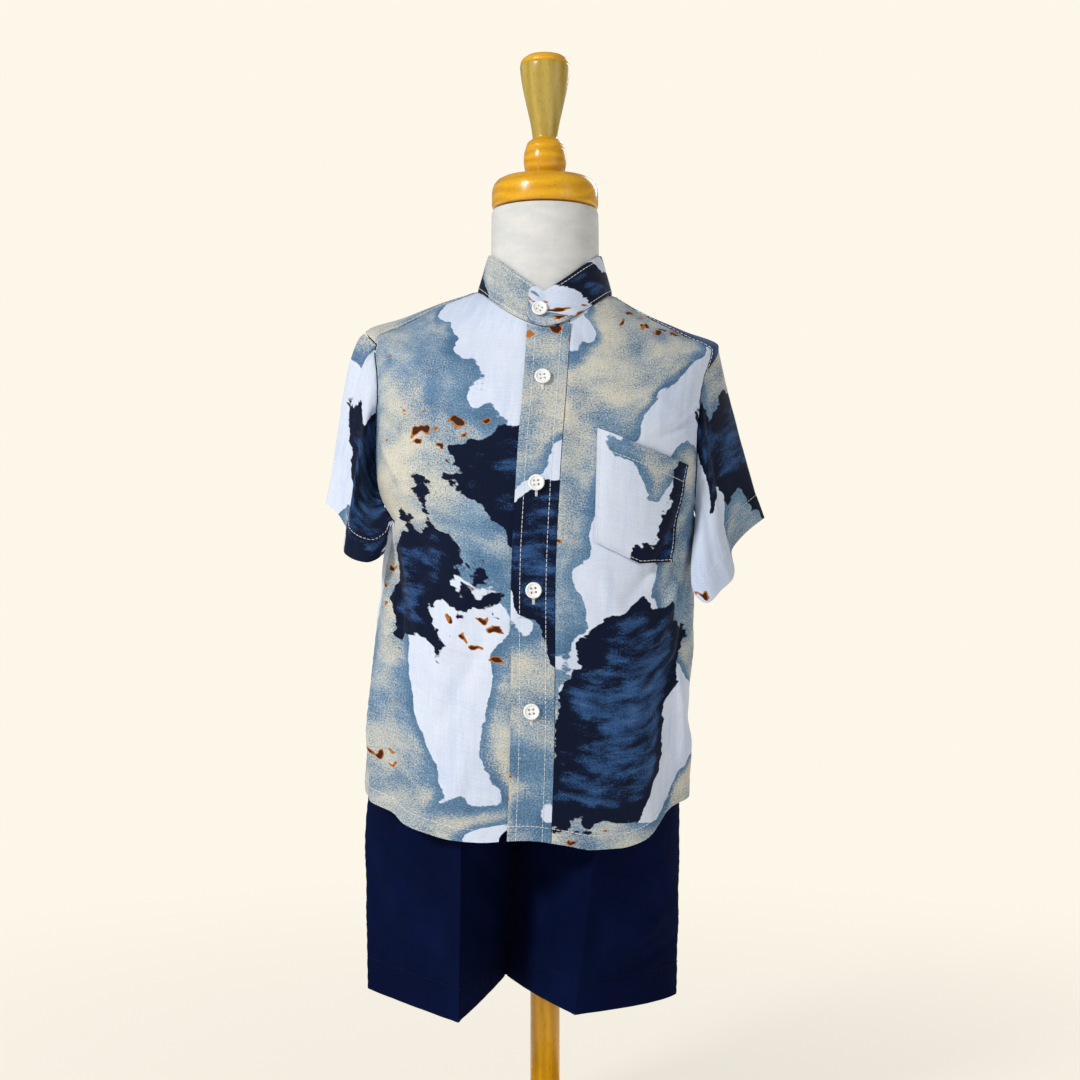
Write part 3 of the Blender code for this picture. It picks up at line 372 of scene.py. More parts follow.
NECK_CAP = table(
    Turned, (38.6, 588.2), (39.4, 588.7), (39.8, 590.4), (39.8, 594.0), (39.8, 599.0), (39.4, 602.5),
    (38.1, 605.8), (35.9, 608.4), (32.9, 610.0), (28.9, 610.8), (14.9, 611.2),
)
FINIAL = table(
    Turned, (10.9, 611.5), (11.7, 612.1), (13.7, 614.2), (15.3, 618.0), (15.9, 622.5), (15.9, 627.0),
    (15.4, 630.6), (14.8, 632.3), (14.3, 632.8), (14.6, 633.4), (14.1, 635.0), (13.5, 635.5), (13.8, 636.0),
    (13.1, 637.4), (11.5, 638.8), (10.1, 639.8), (9.4, 640.6), (9.3, 641.6), (9.7, 645.0), (10.5, 650.5),
    (11.9, 657.0), (13.5, 664.0), (15.1, 671.0), (16.6, 678.0), (17.7, 684.5), (18.4, 690.0), (18.7, 693.4),
    (18.6, 695.2), (18.1, 695.9), (18.4, 696.6), (17.9, 698.4), (16.5, 700.2), (13.5, 702.2), (8.0, 703.6),
    (3.0, 704.0),
)
# The finial's handle between its ball and its domed top is left paler
HANDLE_BOTTOM, HANDLE_TOP = 640.4, 695.8
BASE = table(
    Turned, (BASE_RADIUS - 3.0, 0.0), (BASE_RADIUS - 0.8, 0.9), (BASE_RADIUS, 3.0), (BASE_RADIUS, 11.0),
    (BASE_RADIUS - 1.0, 13.6), (BASE_RADIUS - 3.5, 15.5), (BASE_RADIUS - 7.0, 17.0),
    (BASE_RADIUS - 11.0, 18.0), (70.0, 19.2), (30.0, 20.0), (24.0, 20.8), (21.0, 23.5), (19.0, 27.0),
    (18.2, 34.0), (17.4, 36.2), (15.5, 37.0),
)
POLE_FOOT = 37.3

# The flat cut of each piece: overall width and length, the area inside its outline, and for the shirt's
# pieces the place on the roll of printed cloth that they were cut from, all in metres
Cut = namedtuple("Cut", "width length area x y", defaults=(0.0, 0.0))
CUTS = {
    "shirt_front_right": Cut(0.165, 0.385, 0.0560, 0.30, 0.10),
    "shirt_front_left": Cut(0.150, 0.385, 0.0500, 1.24, 0.52),
    "shirt_placket": Cut(0.0306, 0.385, 0.0116, 2.12, 0.31),
    "shirt_back": Cut(0.330, 0.345, 0.1060, 3.05, 0.20),
    "shirt_yoke": Cut(0.270, 0.130, 0.0220, 0.86, 1.45),
    "shirt_sleeve_right": Cut(0.310, 0.130, 0.0250, 2.47, 1.62),
    "shirt_sleeve_left": Cut(0.310, 0.140, 0.0250, 1.30, 0.75),
    "shirt_collar": Cut(0.350, 0.032, 0.0097, 3.55, 1.13),
    "shirt_pocket": Cut(0.068, 0.090, 0.0052, 1.86, 2.10),
    "trouser_front_right": Cut(0.180, 0.290, 0.0450),
    "trouser_front_left": Cut(0.190, 0.290, 0.0470),
    "trouser_back_right": Cut(0.180, 0.290, 0.0430),
    "trouser_back_left": Cut(0.190, 0.290, 0.0450),
    "trouser_waistband": Cut(0.512, 0.028, 0.0142),
}


# Numbers along a curve
def curve_shares(t):
    """What a curve's start, its leaving slope, its end and its arriving slope each give at t."""
    return (1 + 2 * t) * (1 - t) ** 2, t * (1 - t) ** 2, t * t * (3 - 2 * t), t * t * (t - 1)


def eased_through(at, xs, ys):
    """A smooth line through the points (xs, ys) that never overshoots them, read at one or more places."""
    xs, ys = np.asarray(xs, float), np.asarray(ys, float)
    step, rise = np.diff(xs), np.diff(ys) / np.diff(xs)
    slope = np.zeros(len(xs))
    same_way = rise[:-1] * rise[1:] > 0
    mean = 2 * rise[:-1] * rise[1:] / np.where(same_way, rise[:-1] + rise[1:], 1)
    slope[1:-1] = np.where(same_way, mean, 0)
    slope[0], slope[-1] = rise[0], rise[-1]
    at = np.clip(np.asarray(at, float), xs[0], xs[-1])
    i = np.clip(np.searchsorted(xs, at) - 1, 0, len(step) - 1)
    a, b, c, d = curve_shares((at - xs[i]) / step[i])
    return a * ys[i] + b * step[i] * slope[i] + c * ys[i + 1] + d * step[i] * slope[i + 1]


def column(rows, name):
    return np.array([getattr(row, name) for row in rows], float)


def read(rows, key, name, at):
    return eased_through(at, column(rows, key), column(rows, name))


def smoothstep(t):
    t = np.clip(t, 0, 1)
    return t * t * (3 - 2 * t)


def bump(off, half_width):
    return np.exp(-((off / half_width) ** 2))


RUMPLE_WAVES = ((1.0, 0.31, 0.0), (0.7, -0.83, 1.3), (1.3, 1.17, 2.1), (0.9, 2.2, 4.0), (1.6, -1.6, 5.2))


def unit(vectors):
    return vectors / np.linalg.norm(vectors, axis=-1, keepdims=True)


def beside_line(dx, dy, run):
    """How far along a line a place lies, as a share of its length, and how far off it."""
    length = math.hypot(*run)
    along_x, along_y = run / length
    return (dx * along_x + dy * along_y) / length, dx * along_y - dy * along_x


def rumple(a, b, size):
    """A soft, uneven field between -1 and 1 over two lengths in millimetres, size across its hollows."""
    total = np.zeros(np.broadcast(a, b).shape)
    for pitch, lean, start in RUMPLE_WAVES:
        total += np.sin((a * math.cos(lean) + b * math.sin(lean)) * math.tau * pitch / size + start)
    return total / len(RUMPLE_WAVES)


# The shirt body as one surface
def ring_point(ring, angle):
    across, along = np.sin(np.radians(angle)), np.cos(np.radians(angle))
    power = 2 / ring.squareness
    front = along > 0
    x = ring.shift + ring.half_width * np.sign(across) * np.abs(across) ** power
    depth = np.where(front, ring.front_depth, ring.back_depth)
    y = -depth * np.sign(along) * np.abs(along) ** power
    end_z = np.where(front, ring.front_z, ring.back_z)
    z = end_z + (ring.side_z - end_z) * np.abs(across) ** ring.saddle
    z = z + shoulder_rise(x) * smoothstep((ring.side_z - 440) / 45)
    return np.stack([x, y, z], axis=-1)


def shoulder_rise(x):
    out = np.abs(x)
    near, tip = smoothstep((out - 35) / 50), smoothstep((out - 98) / 32)
    tilts = (SHOULDER_TILTS[side] for side in SIDES)
    left, right = (tilt.raised * near + tilt.tip_raised * tip for tilt in tilts)
    return np.where(x > 0, left, right)


def fold_depth(angle, level):
    depth = np.zeros(np.broadcast(angle, level).shape)
    for fold in SHIRT_FOLDS:
        down = np.clip((fold.top - level) / (fold.top - fold.bottom), 0, 1)
        middle = fold.angle + fold.lean * down
        off = (angle - middle + 180) % 360 - 180
        depth += fold.depth * smoothstep(down * 1.6) * bump(off, fold.half_angle)
    return depth


def crease_depth(angle, level):
    """How far the small creases and the cloth's own unevenness push it out."""
    across, up = angle * MM_PER_DEGREE, level
    depth = 0.8 * rumple(across, up, 56.0) + 0.20 * rumple(up, across, 23.0)
    for crease in SHIRT_CREASES:
        start = np.array([crease.angle * MM_PER_DEGREE, crease.level])
        run = np.array([crease.end_angle * MM_PER_DEGREE, crease.end_level]) - start
        dx = (across - start[0] + 360) % 720 - 360
        along, off = beside_line(dx, up - start[1], run)
        off = off + crease.half_width * 0.8 * np.sin(along * 3.0)
        depth += CREASE_STRENGTH * crease.depth * bump(off, crease.half_width) * bump(along - 0.5, 0.42)
    return depth


def body_point(angle, level):
    """The outer face of the shirt body."""
    angle, level = np.broadcast_arrays(np.asarray(angle, float), np.asarray(level, float))
    here = Ring(level, *(read(SHIRT_RINGS, "side_z", name, level) for name in Ring._fields[1:]))
    point = ring_point(here, angle)
    push = fold_depth(angle, level)
    point[..., 0] += push * np.sin(np.radians(angle))
    point[..., 1] -= push * np.cos(np.radians(angle))
    return point


def body_normal(angle, level):
    turn = body_point(angle + 0.5, level) - body_point(angle - 0.5, level)
    rise = body_point(angle, level + 0.5) - body_point(angle, level - 0.5)
    return unit(np.cross(turn, rise))


def body_outside(angle, level, out):
    return body_point(angle, level) + body_normal(angle, level) * np.asarray(out)[..., None]


def angle_at_x(level, x):
    names = ("shift", "half_width", "squareness")
    shift, half_width, squareness = (read(SHIRT_RINGS, "side_z", name, level) for name in names)
    share = (np.asarray(x, float) - shift) / half_width
    return np.degrees(np.arcsin(np.sign(share) * np.abs(share) ** (squareness / 2)))


def level_at_front_z(z):
    levels = np.linspace(SHIRT_RINGS[0].side_z, NECKLINE, 400)
    return np.interp(z, read(SHIRT_RINGS, "side_z", "front_z", levels), levels)


def hem_level(angle):
    return read(SHIRT_HEM, "angle", "z", angle)


def placket_x(level):
    return read(PLACKET_LINE, "level", "x", level)


# Edges of the shirt's pieces, as rows of (angle, level)
def armhole(side, turn):
    turn = np.radians(np.asarray(turn, float))
    lean = (90 - SIDE_SEAMS[side].at_armpit) * ((1 - np.cos(turn)) / 2) ** ARMPIT_SHARPNESS
    forward = read(ARMHOLE_FRONTS[side], "turn", "reach", np.degrees(turn) % 360)
    backward = ARMHOLE_BACKS[side] * np.abs(np.sin(turn)) ** ARMHOLE_SQUARENESS
    angle = 90 - lean + np.where(np.sin(turn) > 0, -forward, backward)
    level = ARMPIT + (SHOULDER_TIP - ARMPIT) * (1 + np.cos(turn)) / 2
    return np.stack([SIDES[side] * angle, level], axis=-1)


def side_seam(side, count):
    seam = SIDE_SEAMS[side]
    start = float(hem_level(SIDES[side] * seam.at_hem))
    level = np.linspace(start, ARMPIT, count + 1)
    heights = (start, (start + ARMPIT) / 2, ARMPIT)
    angle = eased_through(level, heights, (seam.at_hem, seam.at_waist, seam.at_armpit))
    return np.stack([SIDES[side] * angle, level], axis=-1)


def straight(start, end, count):
    share = np.linspace(0, 1, count + 1)[:, None]
    return np.asarray(start, float) * (1 - share) + np.asarray(end, float) * share


def hem_line(start, end, count):
    angle = np.linspace(start, end, count + 1)
    return np.stack([angle, hem_level(angle)], axis=-1)


def joined(first, second):
    return np.concatenate([first, second[1:]])


def patch(bottom, top, start, end):
    """A grid of places filled in between its four edges, which meet at the corners."""
    u = np.linspace(0, 1, len(bottom))[:, None, None]
    v = np.linspace(0, 1, len(start))[None, :, None]
    across = (1 - v) * bottom[:, None] + v * top[:, None]
    along = (1 - u) * start[None] + u * end[None]
    corners = (1 - u) * ((1 - v) * bottom[0] + v * top[0]) + u * ((1 - v) * bottom[-1] + v * top[-1])
    return across + along - corners


SIDE_SEAM_SPANS = 90
ARMHOLE_SPANS = 70
YOKE_SPANS = 30
YOKE_SIDE_SPANS = 26
YOKE_BACK_SPANS = 110
NECK_SPANS = 64
FRONT_ROW_HEIGHTS = (330.0, 425.0)


# Grids of points
def facing(points, inside, tube=False):
    """Unit normals of a grid of points, on the side away from the point inside."""
    turn = np.gradient(points, axis=0, edge_order=2)
    if tube:
        turn[0] = turn[-1] = points[1] - points[-2]
    normal = unit(np.cross(turn, np.gradient(points, axis=1, edge_order=2)))
    return normal if (normal * (points - inside)).sum() > 0 else -normal


def runs(points):
    """Each point's distance along the cloth from the grid's four edges: u0, u1, v0 and v1."""
    found = {}
    for edge, axis in (("u", 0), ("v", 1)):
        step = np.linalg.norm(np.diff(points, axis=axis), axis=-1)
        run = np.cumsum(step, axis=axis)
        first = np.zeros_like(run[:1] if axis == 0 else run[:, :1])
        run = np.concatenate([first, run], axis=axis)
        last = run[-1:] if axis == 0 else run[:, -1:]
        found[edge + "0"], found[edge + "1"] = run, last - run
    return found


def laid_flat(points, column):
    """The grid's places on the flat cloth, in millimetres, where one of its columns lies straight."""
    u = runs(points)["u0"]
    u = u - u[column] + u[column, 0]
    step = np.linalg.norm(np.diff(points, axis=1), axis=-1)
    up = np.sqrt(np.maximum(step**2 - np.diff(u, axis=1) ** 2, 0))
    hem = points[:, :1, 2] - points[column, 0, 2]
    v = hem + np.concatenate([np.zeros_like(up[:, :1]), np.cumsum(up, axis=1)], axis=1)
    return np.stack([u, v], axis=-1)


def drawn_back(points, seams, gap=SEAM_GAP):
    """The grid with its sewn edges drawn back by half a seam gap."""
    points = points.copy()
    for edge in seams:
        grid = points if edge[0] == "u" else points.swapaxes(0, 1)
        here, inside = (0, 1) if edge[1] == "0" else (-1, -2)
        grid[here] += unit(grid[inside] - grid[here]) * gap / 2
    return points


def rolled_in(off):
    """How deep a sewn edge rolls down into its seam."""
    return 0.45 * np.exp(-off / 0.9)


def seam_relief(run, seams):
    """Sewn edges roll down into the seam, and the cloth puckers a little beside them."""
    relief = np.zeros(run["u0"].shape)
    for edge in seams:
        beside = run["v0"] if edge[0] == "u" else run["u0"]
        relief -= rolled_in(run[edge])
        relief += 0.16 * np.sin(beside * 0.71 + 2.0 * np.sin(beside * 0.13)) * np.exp(-run[edge] / 6.0)
    return relief


def hem_wall(off, width, extra):
    """How much thicker the cloth is where its hem is turned up."""
    return extra * (1 - smoothstep((off - width + 0.4) / 1.6))


def hem_relief(off, beside, width):
    """A turned-up hem: a thicker band, a trough along its stitching and puckers across it."""
    trough = -0.42 * bump(off - width + HEM_STITCH_INSET, 1.0)
    puckers = np.sin(beside * 0.82 + 1.7 * np.sin(beside * 0.19)) * bump(off - width * 0.8, width * 0.45)
    return hem_wall(off, width, 0.32) + trough + 0.22 * puckers


# Pieces
def shown(piece, node):
    """The piece rides on the one body and stands for its CAD node, which is hidden."""
    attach(piece, "root")
    if node:
        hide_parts(node)
    return piece


def placed(name, data):
    """A new object in the scene."""
    made = bpy.data.objects.new(name, data)
    bpy.context.scene.collection.objects.link(made)
    return made


def new_piece(name, mesh, material):
    mesh.materials.clear()
    mesh.materials.append(material)
    mesh.shade_smooth()
    mesh.set_sharp_from_angle(angle=math.radians(50))
    return placed(name, mesh)


def mesh_of(name, build):
    form = bmesh.new()
    build(form)
    mesh = bpy.data.meshes.new(name)
    form.to_mesh(mesh)
    form.free()
    return mesh


def lifted(point):
    """A place in the tables' millimetres, in metres above the floor."""
    return Vector((point[0] * MM, point[1] * MM, (point[2] + HEM_HEIGHT) * MM))


def grid_of(form, across, along):
    """A flat grid, as rows of (vertex, column, row)."""
    bmesh.ops.create_grid(form, x_segments=across - 1, y_segments=along - 1, size=1.0)
    return [
        (vert, round((vert.co.x + 1) / 2 * (across - 1)), round((vert.co.y + 1) / 2 * (along - 1)))
        for vert in form.verts
    ]


def cloth(name, outer, inner, slot, tube=False, flat=None):
    """A wall of cloth between two grids of points. Its UV map is in metres: along the cloth, or as the grid
    that lays it flat says."""
    across, along = outer.shape[:2]
    cut = CUTS[name]
    if flat is None:
        run = runs(outer)
        across_run = run["u0"].mean(axis=1, keepdims=True) + 0 * run["u0"] if tube else run["u0"]
        flat = np.stack([across_run, run["v0"]], axis=-1)
    u = flat[..., 0] * MM + cut.x
    v = flat[..., 1] * MM + cut.y

    def build(form):
        column_mark = form.verts.layers.int.new("column")
        row_mark = form.verts.layers.int.new("row")
        for vert, i, j in grid_of(form, across, along):
            vert[column_mark], vert[row_mark] = i, j
            vert.co = lifted(outer[i, j])
        if tube:
            bmesh.ops.remove_doubles(form, verts=form.verts, dist=MERGE_DISTANCE)
        lining = bmesh.ops.extrude_face_region(form, geom=form.faces[:], use_keep_orig=True)
        for vert in lining["geom"]:
            if isinstance(vert, bmesh.types.BMVert):
                vert.co = lifted(inner[vert[column_mark], vert[row_mark]])
        bmesh.ops.recalc_face_normals(form, faces=form.faces)
        cloth_map = form.loops.layers.uv.new("cloth")
        for face in form.faces:
            places = [(loop.vert[column_mark], loop.vert[row_mark]) for loop in face.loops]
            wraps = tube and max(i for i, j in places) - min(i for i, j in places) > across // 2
            for loop, (i, j) in zip(face.loops, places):
                i = across - 1 if wraps and i == 0 else i
                loop[cloth_map].uv = (u[i, j], v[i, j])

    return shown(new_piece(name + "_cloth", mesh_of(name, build), CLOTHS[slot]), name)


# Thread
def line_at(points, normals, run, edge, distance):
    """The line on a grid that keeps a distance from one of its edges, with its normals."""
    axis = 0 if edge[0] == "u" else 1
    grid, facing_out, off = (a if axis == 0 else np.swapaxes(a, 0, 1) for a in (points, normals, run[edge]))
    line, out = [], []
    for k in range(grid.shape[1]):
        order = np.argsort(off[:, k])
        reach = off[order, k]
        line.append([np.interp(distance, reach, grid[order, k, c]) for c in range(3)])
        out.append([np.interp(distance, reach, facing_out[order, k, c]) for c in range(3)])
    return np.array(line), np.array(out)


def stitches(lines, pitch=3.3, share=0.70, lift=0.26):
    """Short threads along lines. Each dives into the cloth at both its ends."""
    found = []
    rise = np.array([-0.25, 0.6, 1.0, 0.6, -0.25]) * lift
    for line, out in lines:
        step = np.linalg.norm(np.diff(line, axis=0), axis=1)
        reach = np.concatenate([[0], np.cumsum(step)])
        for k in range(int(reach[-1] / pitch)):
            at = k * pitch + np.array([0.0, 0.16, 0.5, 0.84, 1.0]) * pitch * share
            found.append(np.stack([
                np.interp(at, reach, line[:, c]) + np.interp(at, reach, out[:, c]) * rise for c in range(3)
            ], axis=-1))
    return found


def thread_piece(name, threads, radius, material):
    """Lines of thread as one mesh, each a thin round cord closed at its ends."""
    curve = bpy.data.curves.new(name, "CURVE")
    curve.dimensions = "3D"
    curve.bevel_depth = radius * MM
    curve.bevel_resolution = 1
    curve.use_fill_caps = True
    for thread in threads:
        spline = curve.splines.new("POLY")
        spline.points.add(len(thread) - 1)
        for point, place in zip(spline.points, thread):
            point.co = (*lifted(place), 1.0)
    holder = bpy.data.objects.new(name + "_curve", curve)
    mesh = bpy.data.meshes.new_from_object(holder)
    bpy.data.objects.remove(holder)
    bpy.data.curves.remove(curve)
    mesh.name = name
    return new_piece(name, mesh, material)


def thread_shown(name, threads, radius):
    """White thread on the shirt."""
    return shown(thread_piece(name, threads, radius, WHITE_THREAD), None)


# Shader nodes
def add(tree, kind, inputs=(), **settings):
    """A node with its settings. inputs are (socket, value or output) pairs."""
    made = tree.nodes.new(kind)
    for name, value in settings.items():
        setattr(made, name, value)
    for socket, value in inputs:
        if isinstance(value, bpy.types.NodeSocket):
            tree.links.new(value, made.inputs[socket])
        else:
            made.inputs[socket].default_value = value
    return made


def math_node(tree, operation, a, b=0.0, c=0.0, clamp=False):
    made = add(tree, "ShaderNodeMath", ((0, a), (1, b), (2, c)), operation=operation, use_clamp=clamp)
    return made.outputs[0]


def plus(tree, a, b):
    return math_node(tree, "ADD", a, b)


def minus(tree, a, b):
    return math_node(tree, "SUBTRACT", a, b)


def times(tree, a, b, clamp=False):
    return math_node(tree, "MULTIPLY", a, b, clamp=clamp)


def times_plus(tree, a, b, c):
    """a times b, and c added."""
    return math_node(tree, "MULTIPLY_ADD", a, b, c)


def step_between(tree, value, low, high):
    """0 below low and 1 above high, smooth between."""
    inputs = (("Value", value), ("From Min", low), ("From Max", high), ("To Min", 0.0), ("To Max", 1.0))
    return add(tree, "ShaderNodeMapRange", inputs, interpolation_type="SMOOTHSTEP").outputs["Result"]


def mixed(tree, share, a, b, blend="MIX"):
    """Two colours mixed. Each is three numbers or an output."""
    a, b = (colour if isinstance(colour, bpy.types.NodeSocket) else (*colour, 1.0) for colour in (a, b))
    inputs = ((0, share), (6, a), (7, b))
    settings = {"data_type": "RGBA", "blend_type": blend, "clamp_factor": True}
    return add(tree, "ShaderNodeMix", inputs, **settings).outputs[2]


def noise(tree, vector, scale, detail=2.0, roughness=0.5):
    inputs = (("Vector", vector), ("Scale", scale), ("Detail", detail), ("Roughness", roughness))
    return add(tree, "ShaderNodeTexNoise", inputs).outputs["Fac"]


def stretched(tree, vector, scale=(1, 1, 1), turn=(0, 0, 0), shift=(0, 0, 0)):
    inputs = (("Vector", vector), ("Location", shift), ("Rotation", turn), ("Scale", scale))
    return add(tree, "ShaderNodeMapping", inputs).outputs[0]


def cloth_place(tree):
    return add(tree, "ShaderNodeUVMap", uv_map="cloth").outputs[0]


def object_place(tree):
    return add(tree, "ShaderNodeTexCoord").outputs["Object"]


SOCKET_KINDS = {"Vector": "Vector", "Color": "Color", "Light": "Color", "Dark": "Color"}


def new_group(name, inputs, outputs):
    """A shader group with named sockets, and its two end nodes."""
    group = bpy.data.node_groups.new(name, "ShaderNodeTree")
    for labels, way in ((inputs, "INPUT"), (outputs, "OUTPUT")):
        for label in labels:
            kind = "NodeSocket" + SOCKET_KINDS.get(label, "Float")
            group.interface.new_socket(label, in_out=way, socket_type=kind)
    return group, group.nodes.new("NodeGroupInput").outputs, group.nodes.new("NodeGroupOutput").inputs


def placed_group(tree, group, **inputs):
    """A group in a tree with its own values. Its inputs are named in small letters here."""
    pairs = [(name.capitalize(), value) for name, value in inputs.items()]
    return add(tree, "ShaderNodeGroup", pairs, node_tree=group).outputs


def weave_group():
    """Woven threads: a height and a slubby shade. Lean slides each row along, which makes a twill."""
    group, start, end = new_group("weave", ("Vector", "Pitch", "Lean", "Slub"), ("Height", "Shade"))
    split = add(group, "ShaderNodeSeparateXYZ", ((0, start["Vector"]),)).outputs
    x, y = (math_node(group, "DIVIDE", split[k], start["Pitch"]) for k in (0, 1))
    leaned = times_plus(group, y, start["Lean"], x)
    warp, weft = (math_node(group, "SINE", times(group, run, math.pi)) for run in (leaned, y))
    threads = times(group, warp, weft)
    slub_x = noise(group, stretched(group, start["Vector"], (900, 60, 1)), 1.0, 2.0)
    slub_y = noise(group, stretched(group, start["Vector"], (60, 900, 1)), 1.0, 2.0)
    slub = times(group, minus(group, plus(group, slub_x, slub_y), 1.0), start["Slub"])
    group.links.new(times_plus(group, slub, 1.5, threads), end["Height"])
    group.links.new(plus(group, slub, 0.5), end["Shade"])
    return group


def grain_group():
    """Wood grain along Z, with rings, streaks and pores."""
    group, start, end = new_group("wood_grain", ("Vector", "Light", "Dark", "Contrast"), ("Color", "Height"))
    vector = start["Vector"]
    bent = noise(group, stretched(group, vector, (18, 18, 7)), 1.0, 2.0)
    rings = add(
        group, "ShaderNodeTexWave",
        (
            ("Vector", stretched(group, vector, (1, 1, 0.16), (0.1, 0.35, 0.0))), ("Scale", 42.0),
            ("Distortion", 5.0), ("Detail", 2.0), ("Detail Scale", 1.2),
        ),
        wave_type="BANDS", bands_direction="X",
    ).outputs["Fac"]
    streaks = noise(group, stretched(group, vector, (520, 520, 26)), 1.0, 3.0, 0.6)
    pores = noise(group, stretched(group, vector, (1500, 1500, 120)), 1.0, 1.0)
    pores = step_between(group, pores, 0.62, 0.70)
    share = times_plus(group, rings, 0.42, times(group, streaks, 0.46))
    share = plus(group, share, times_plus(group, bent, 0.5, -0.28))
    share = times(group, share, start["Contrast"], clamp=True)
    colour = mixed(group, share, start["Light"], start["Dark"])
    colour = mixed(group, times(group, pores, 0.35), colour, (0.12, 0.05, 0.01))
    group.links.new(colour, end["Color"])
    group.links.new(times_plus(group, pores, -0.8, times(group, streaks, 0.5)), end["Height"])
    return group


def new_material(name, roughness, **settings):
    """A Principled material: its tree, its shader and the constants set on it."""
    material = bpy.data.materials.new(name)
    material.use_nodes = True
    shader = material.node_tree.nodes["Principled BSDF"]
    shader.inputs["Roughness"].default_value = roughness
    for socket, value in settings.items():
        shader.inputs[socket.replace("_", " ")].default_value = value
    return material, material.node_tree, shader


def feed(shader, socket, value):
    shader.id_data.links.new(value, shader.inputs[socket])


def bumped(tree, shader, height, distance, strength=1.0):
    inputs = (("Height", height), ("Distance", distance), ("Strength", strength))
    feed(shader, "Normal", add(tree, "ShaderNodeBump", inputs).outputs["Normal"])


PRINT = {
    "ground": (0.655, 0.722, 0.865),
    "shade": (0.410, 0.515, 0.760),
    "slate": (0.062, 0.145, 0.265),
    "steel": (0.218, 0.342, 0.490),
    "cream": (0.615, 0.590, 0.500),
    "navy": (0.0015, 0.0055, 0.024),
    "blue": (0.026, 0.078, 0.215),
    "haze": (0.085, 0.165, 0.345),
    "brown": (0.050, 0.014, 0.006),
    "ochre": (0.430, 0.150, 0.020),
}


def blot_group():
    """A torn-edged blot: how deep a place lies inside it, 0 at its edge. A broad field gives its shape, and
    lobes and teeth tear its rim."""
    group, start, end = new_group("blot", ("Vector", "Scale", "Level", "Lobes", "Teeth"), ("Depth",))
    vector = start["Vector"]
    broad = add(group, "ShaderNodeTexNoise", (
        ("Vector", vector), ("Scale", start["Scale"]), ("Detail", 0.4), ("Distortion", 0.35),
    )).outputs["Fac"]
    lobe = add(group, "ShaderNodeTexVoronoi", (
        ("Vector", vector), ("Scale", 44.0), ("Smoothness", 0.45), ("Randomness", 1.0),
    ), feature="SMOOTH_F1").outputs["Distance"]
    tooth = noise(group, stretched(group, vector, (95, 190, 1), (0, 0, 0.6)), 1.0, 2.0, 0.55)
    field = times_plus(group, minus(group, lobe, 0.42), start["Lobes"], broad)
    field = times_plus(group, minus(group, tooth, 0.5), start["Teeth"], field)
    group.links.new(minus(group, field, start["Level"]), end["Depth"])
    return group


FLECK_REACH = 0.56


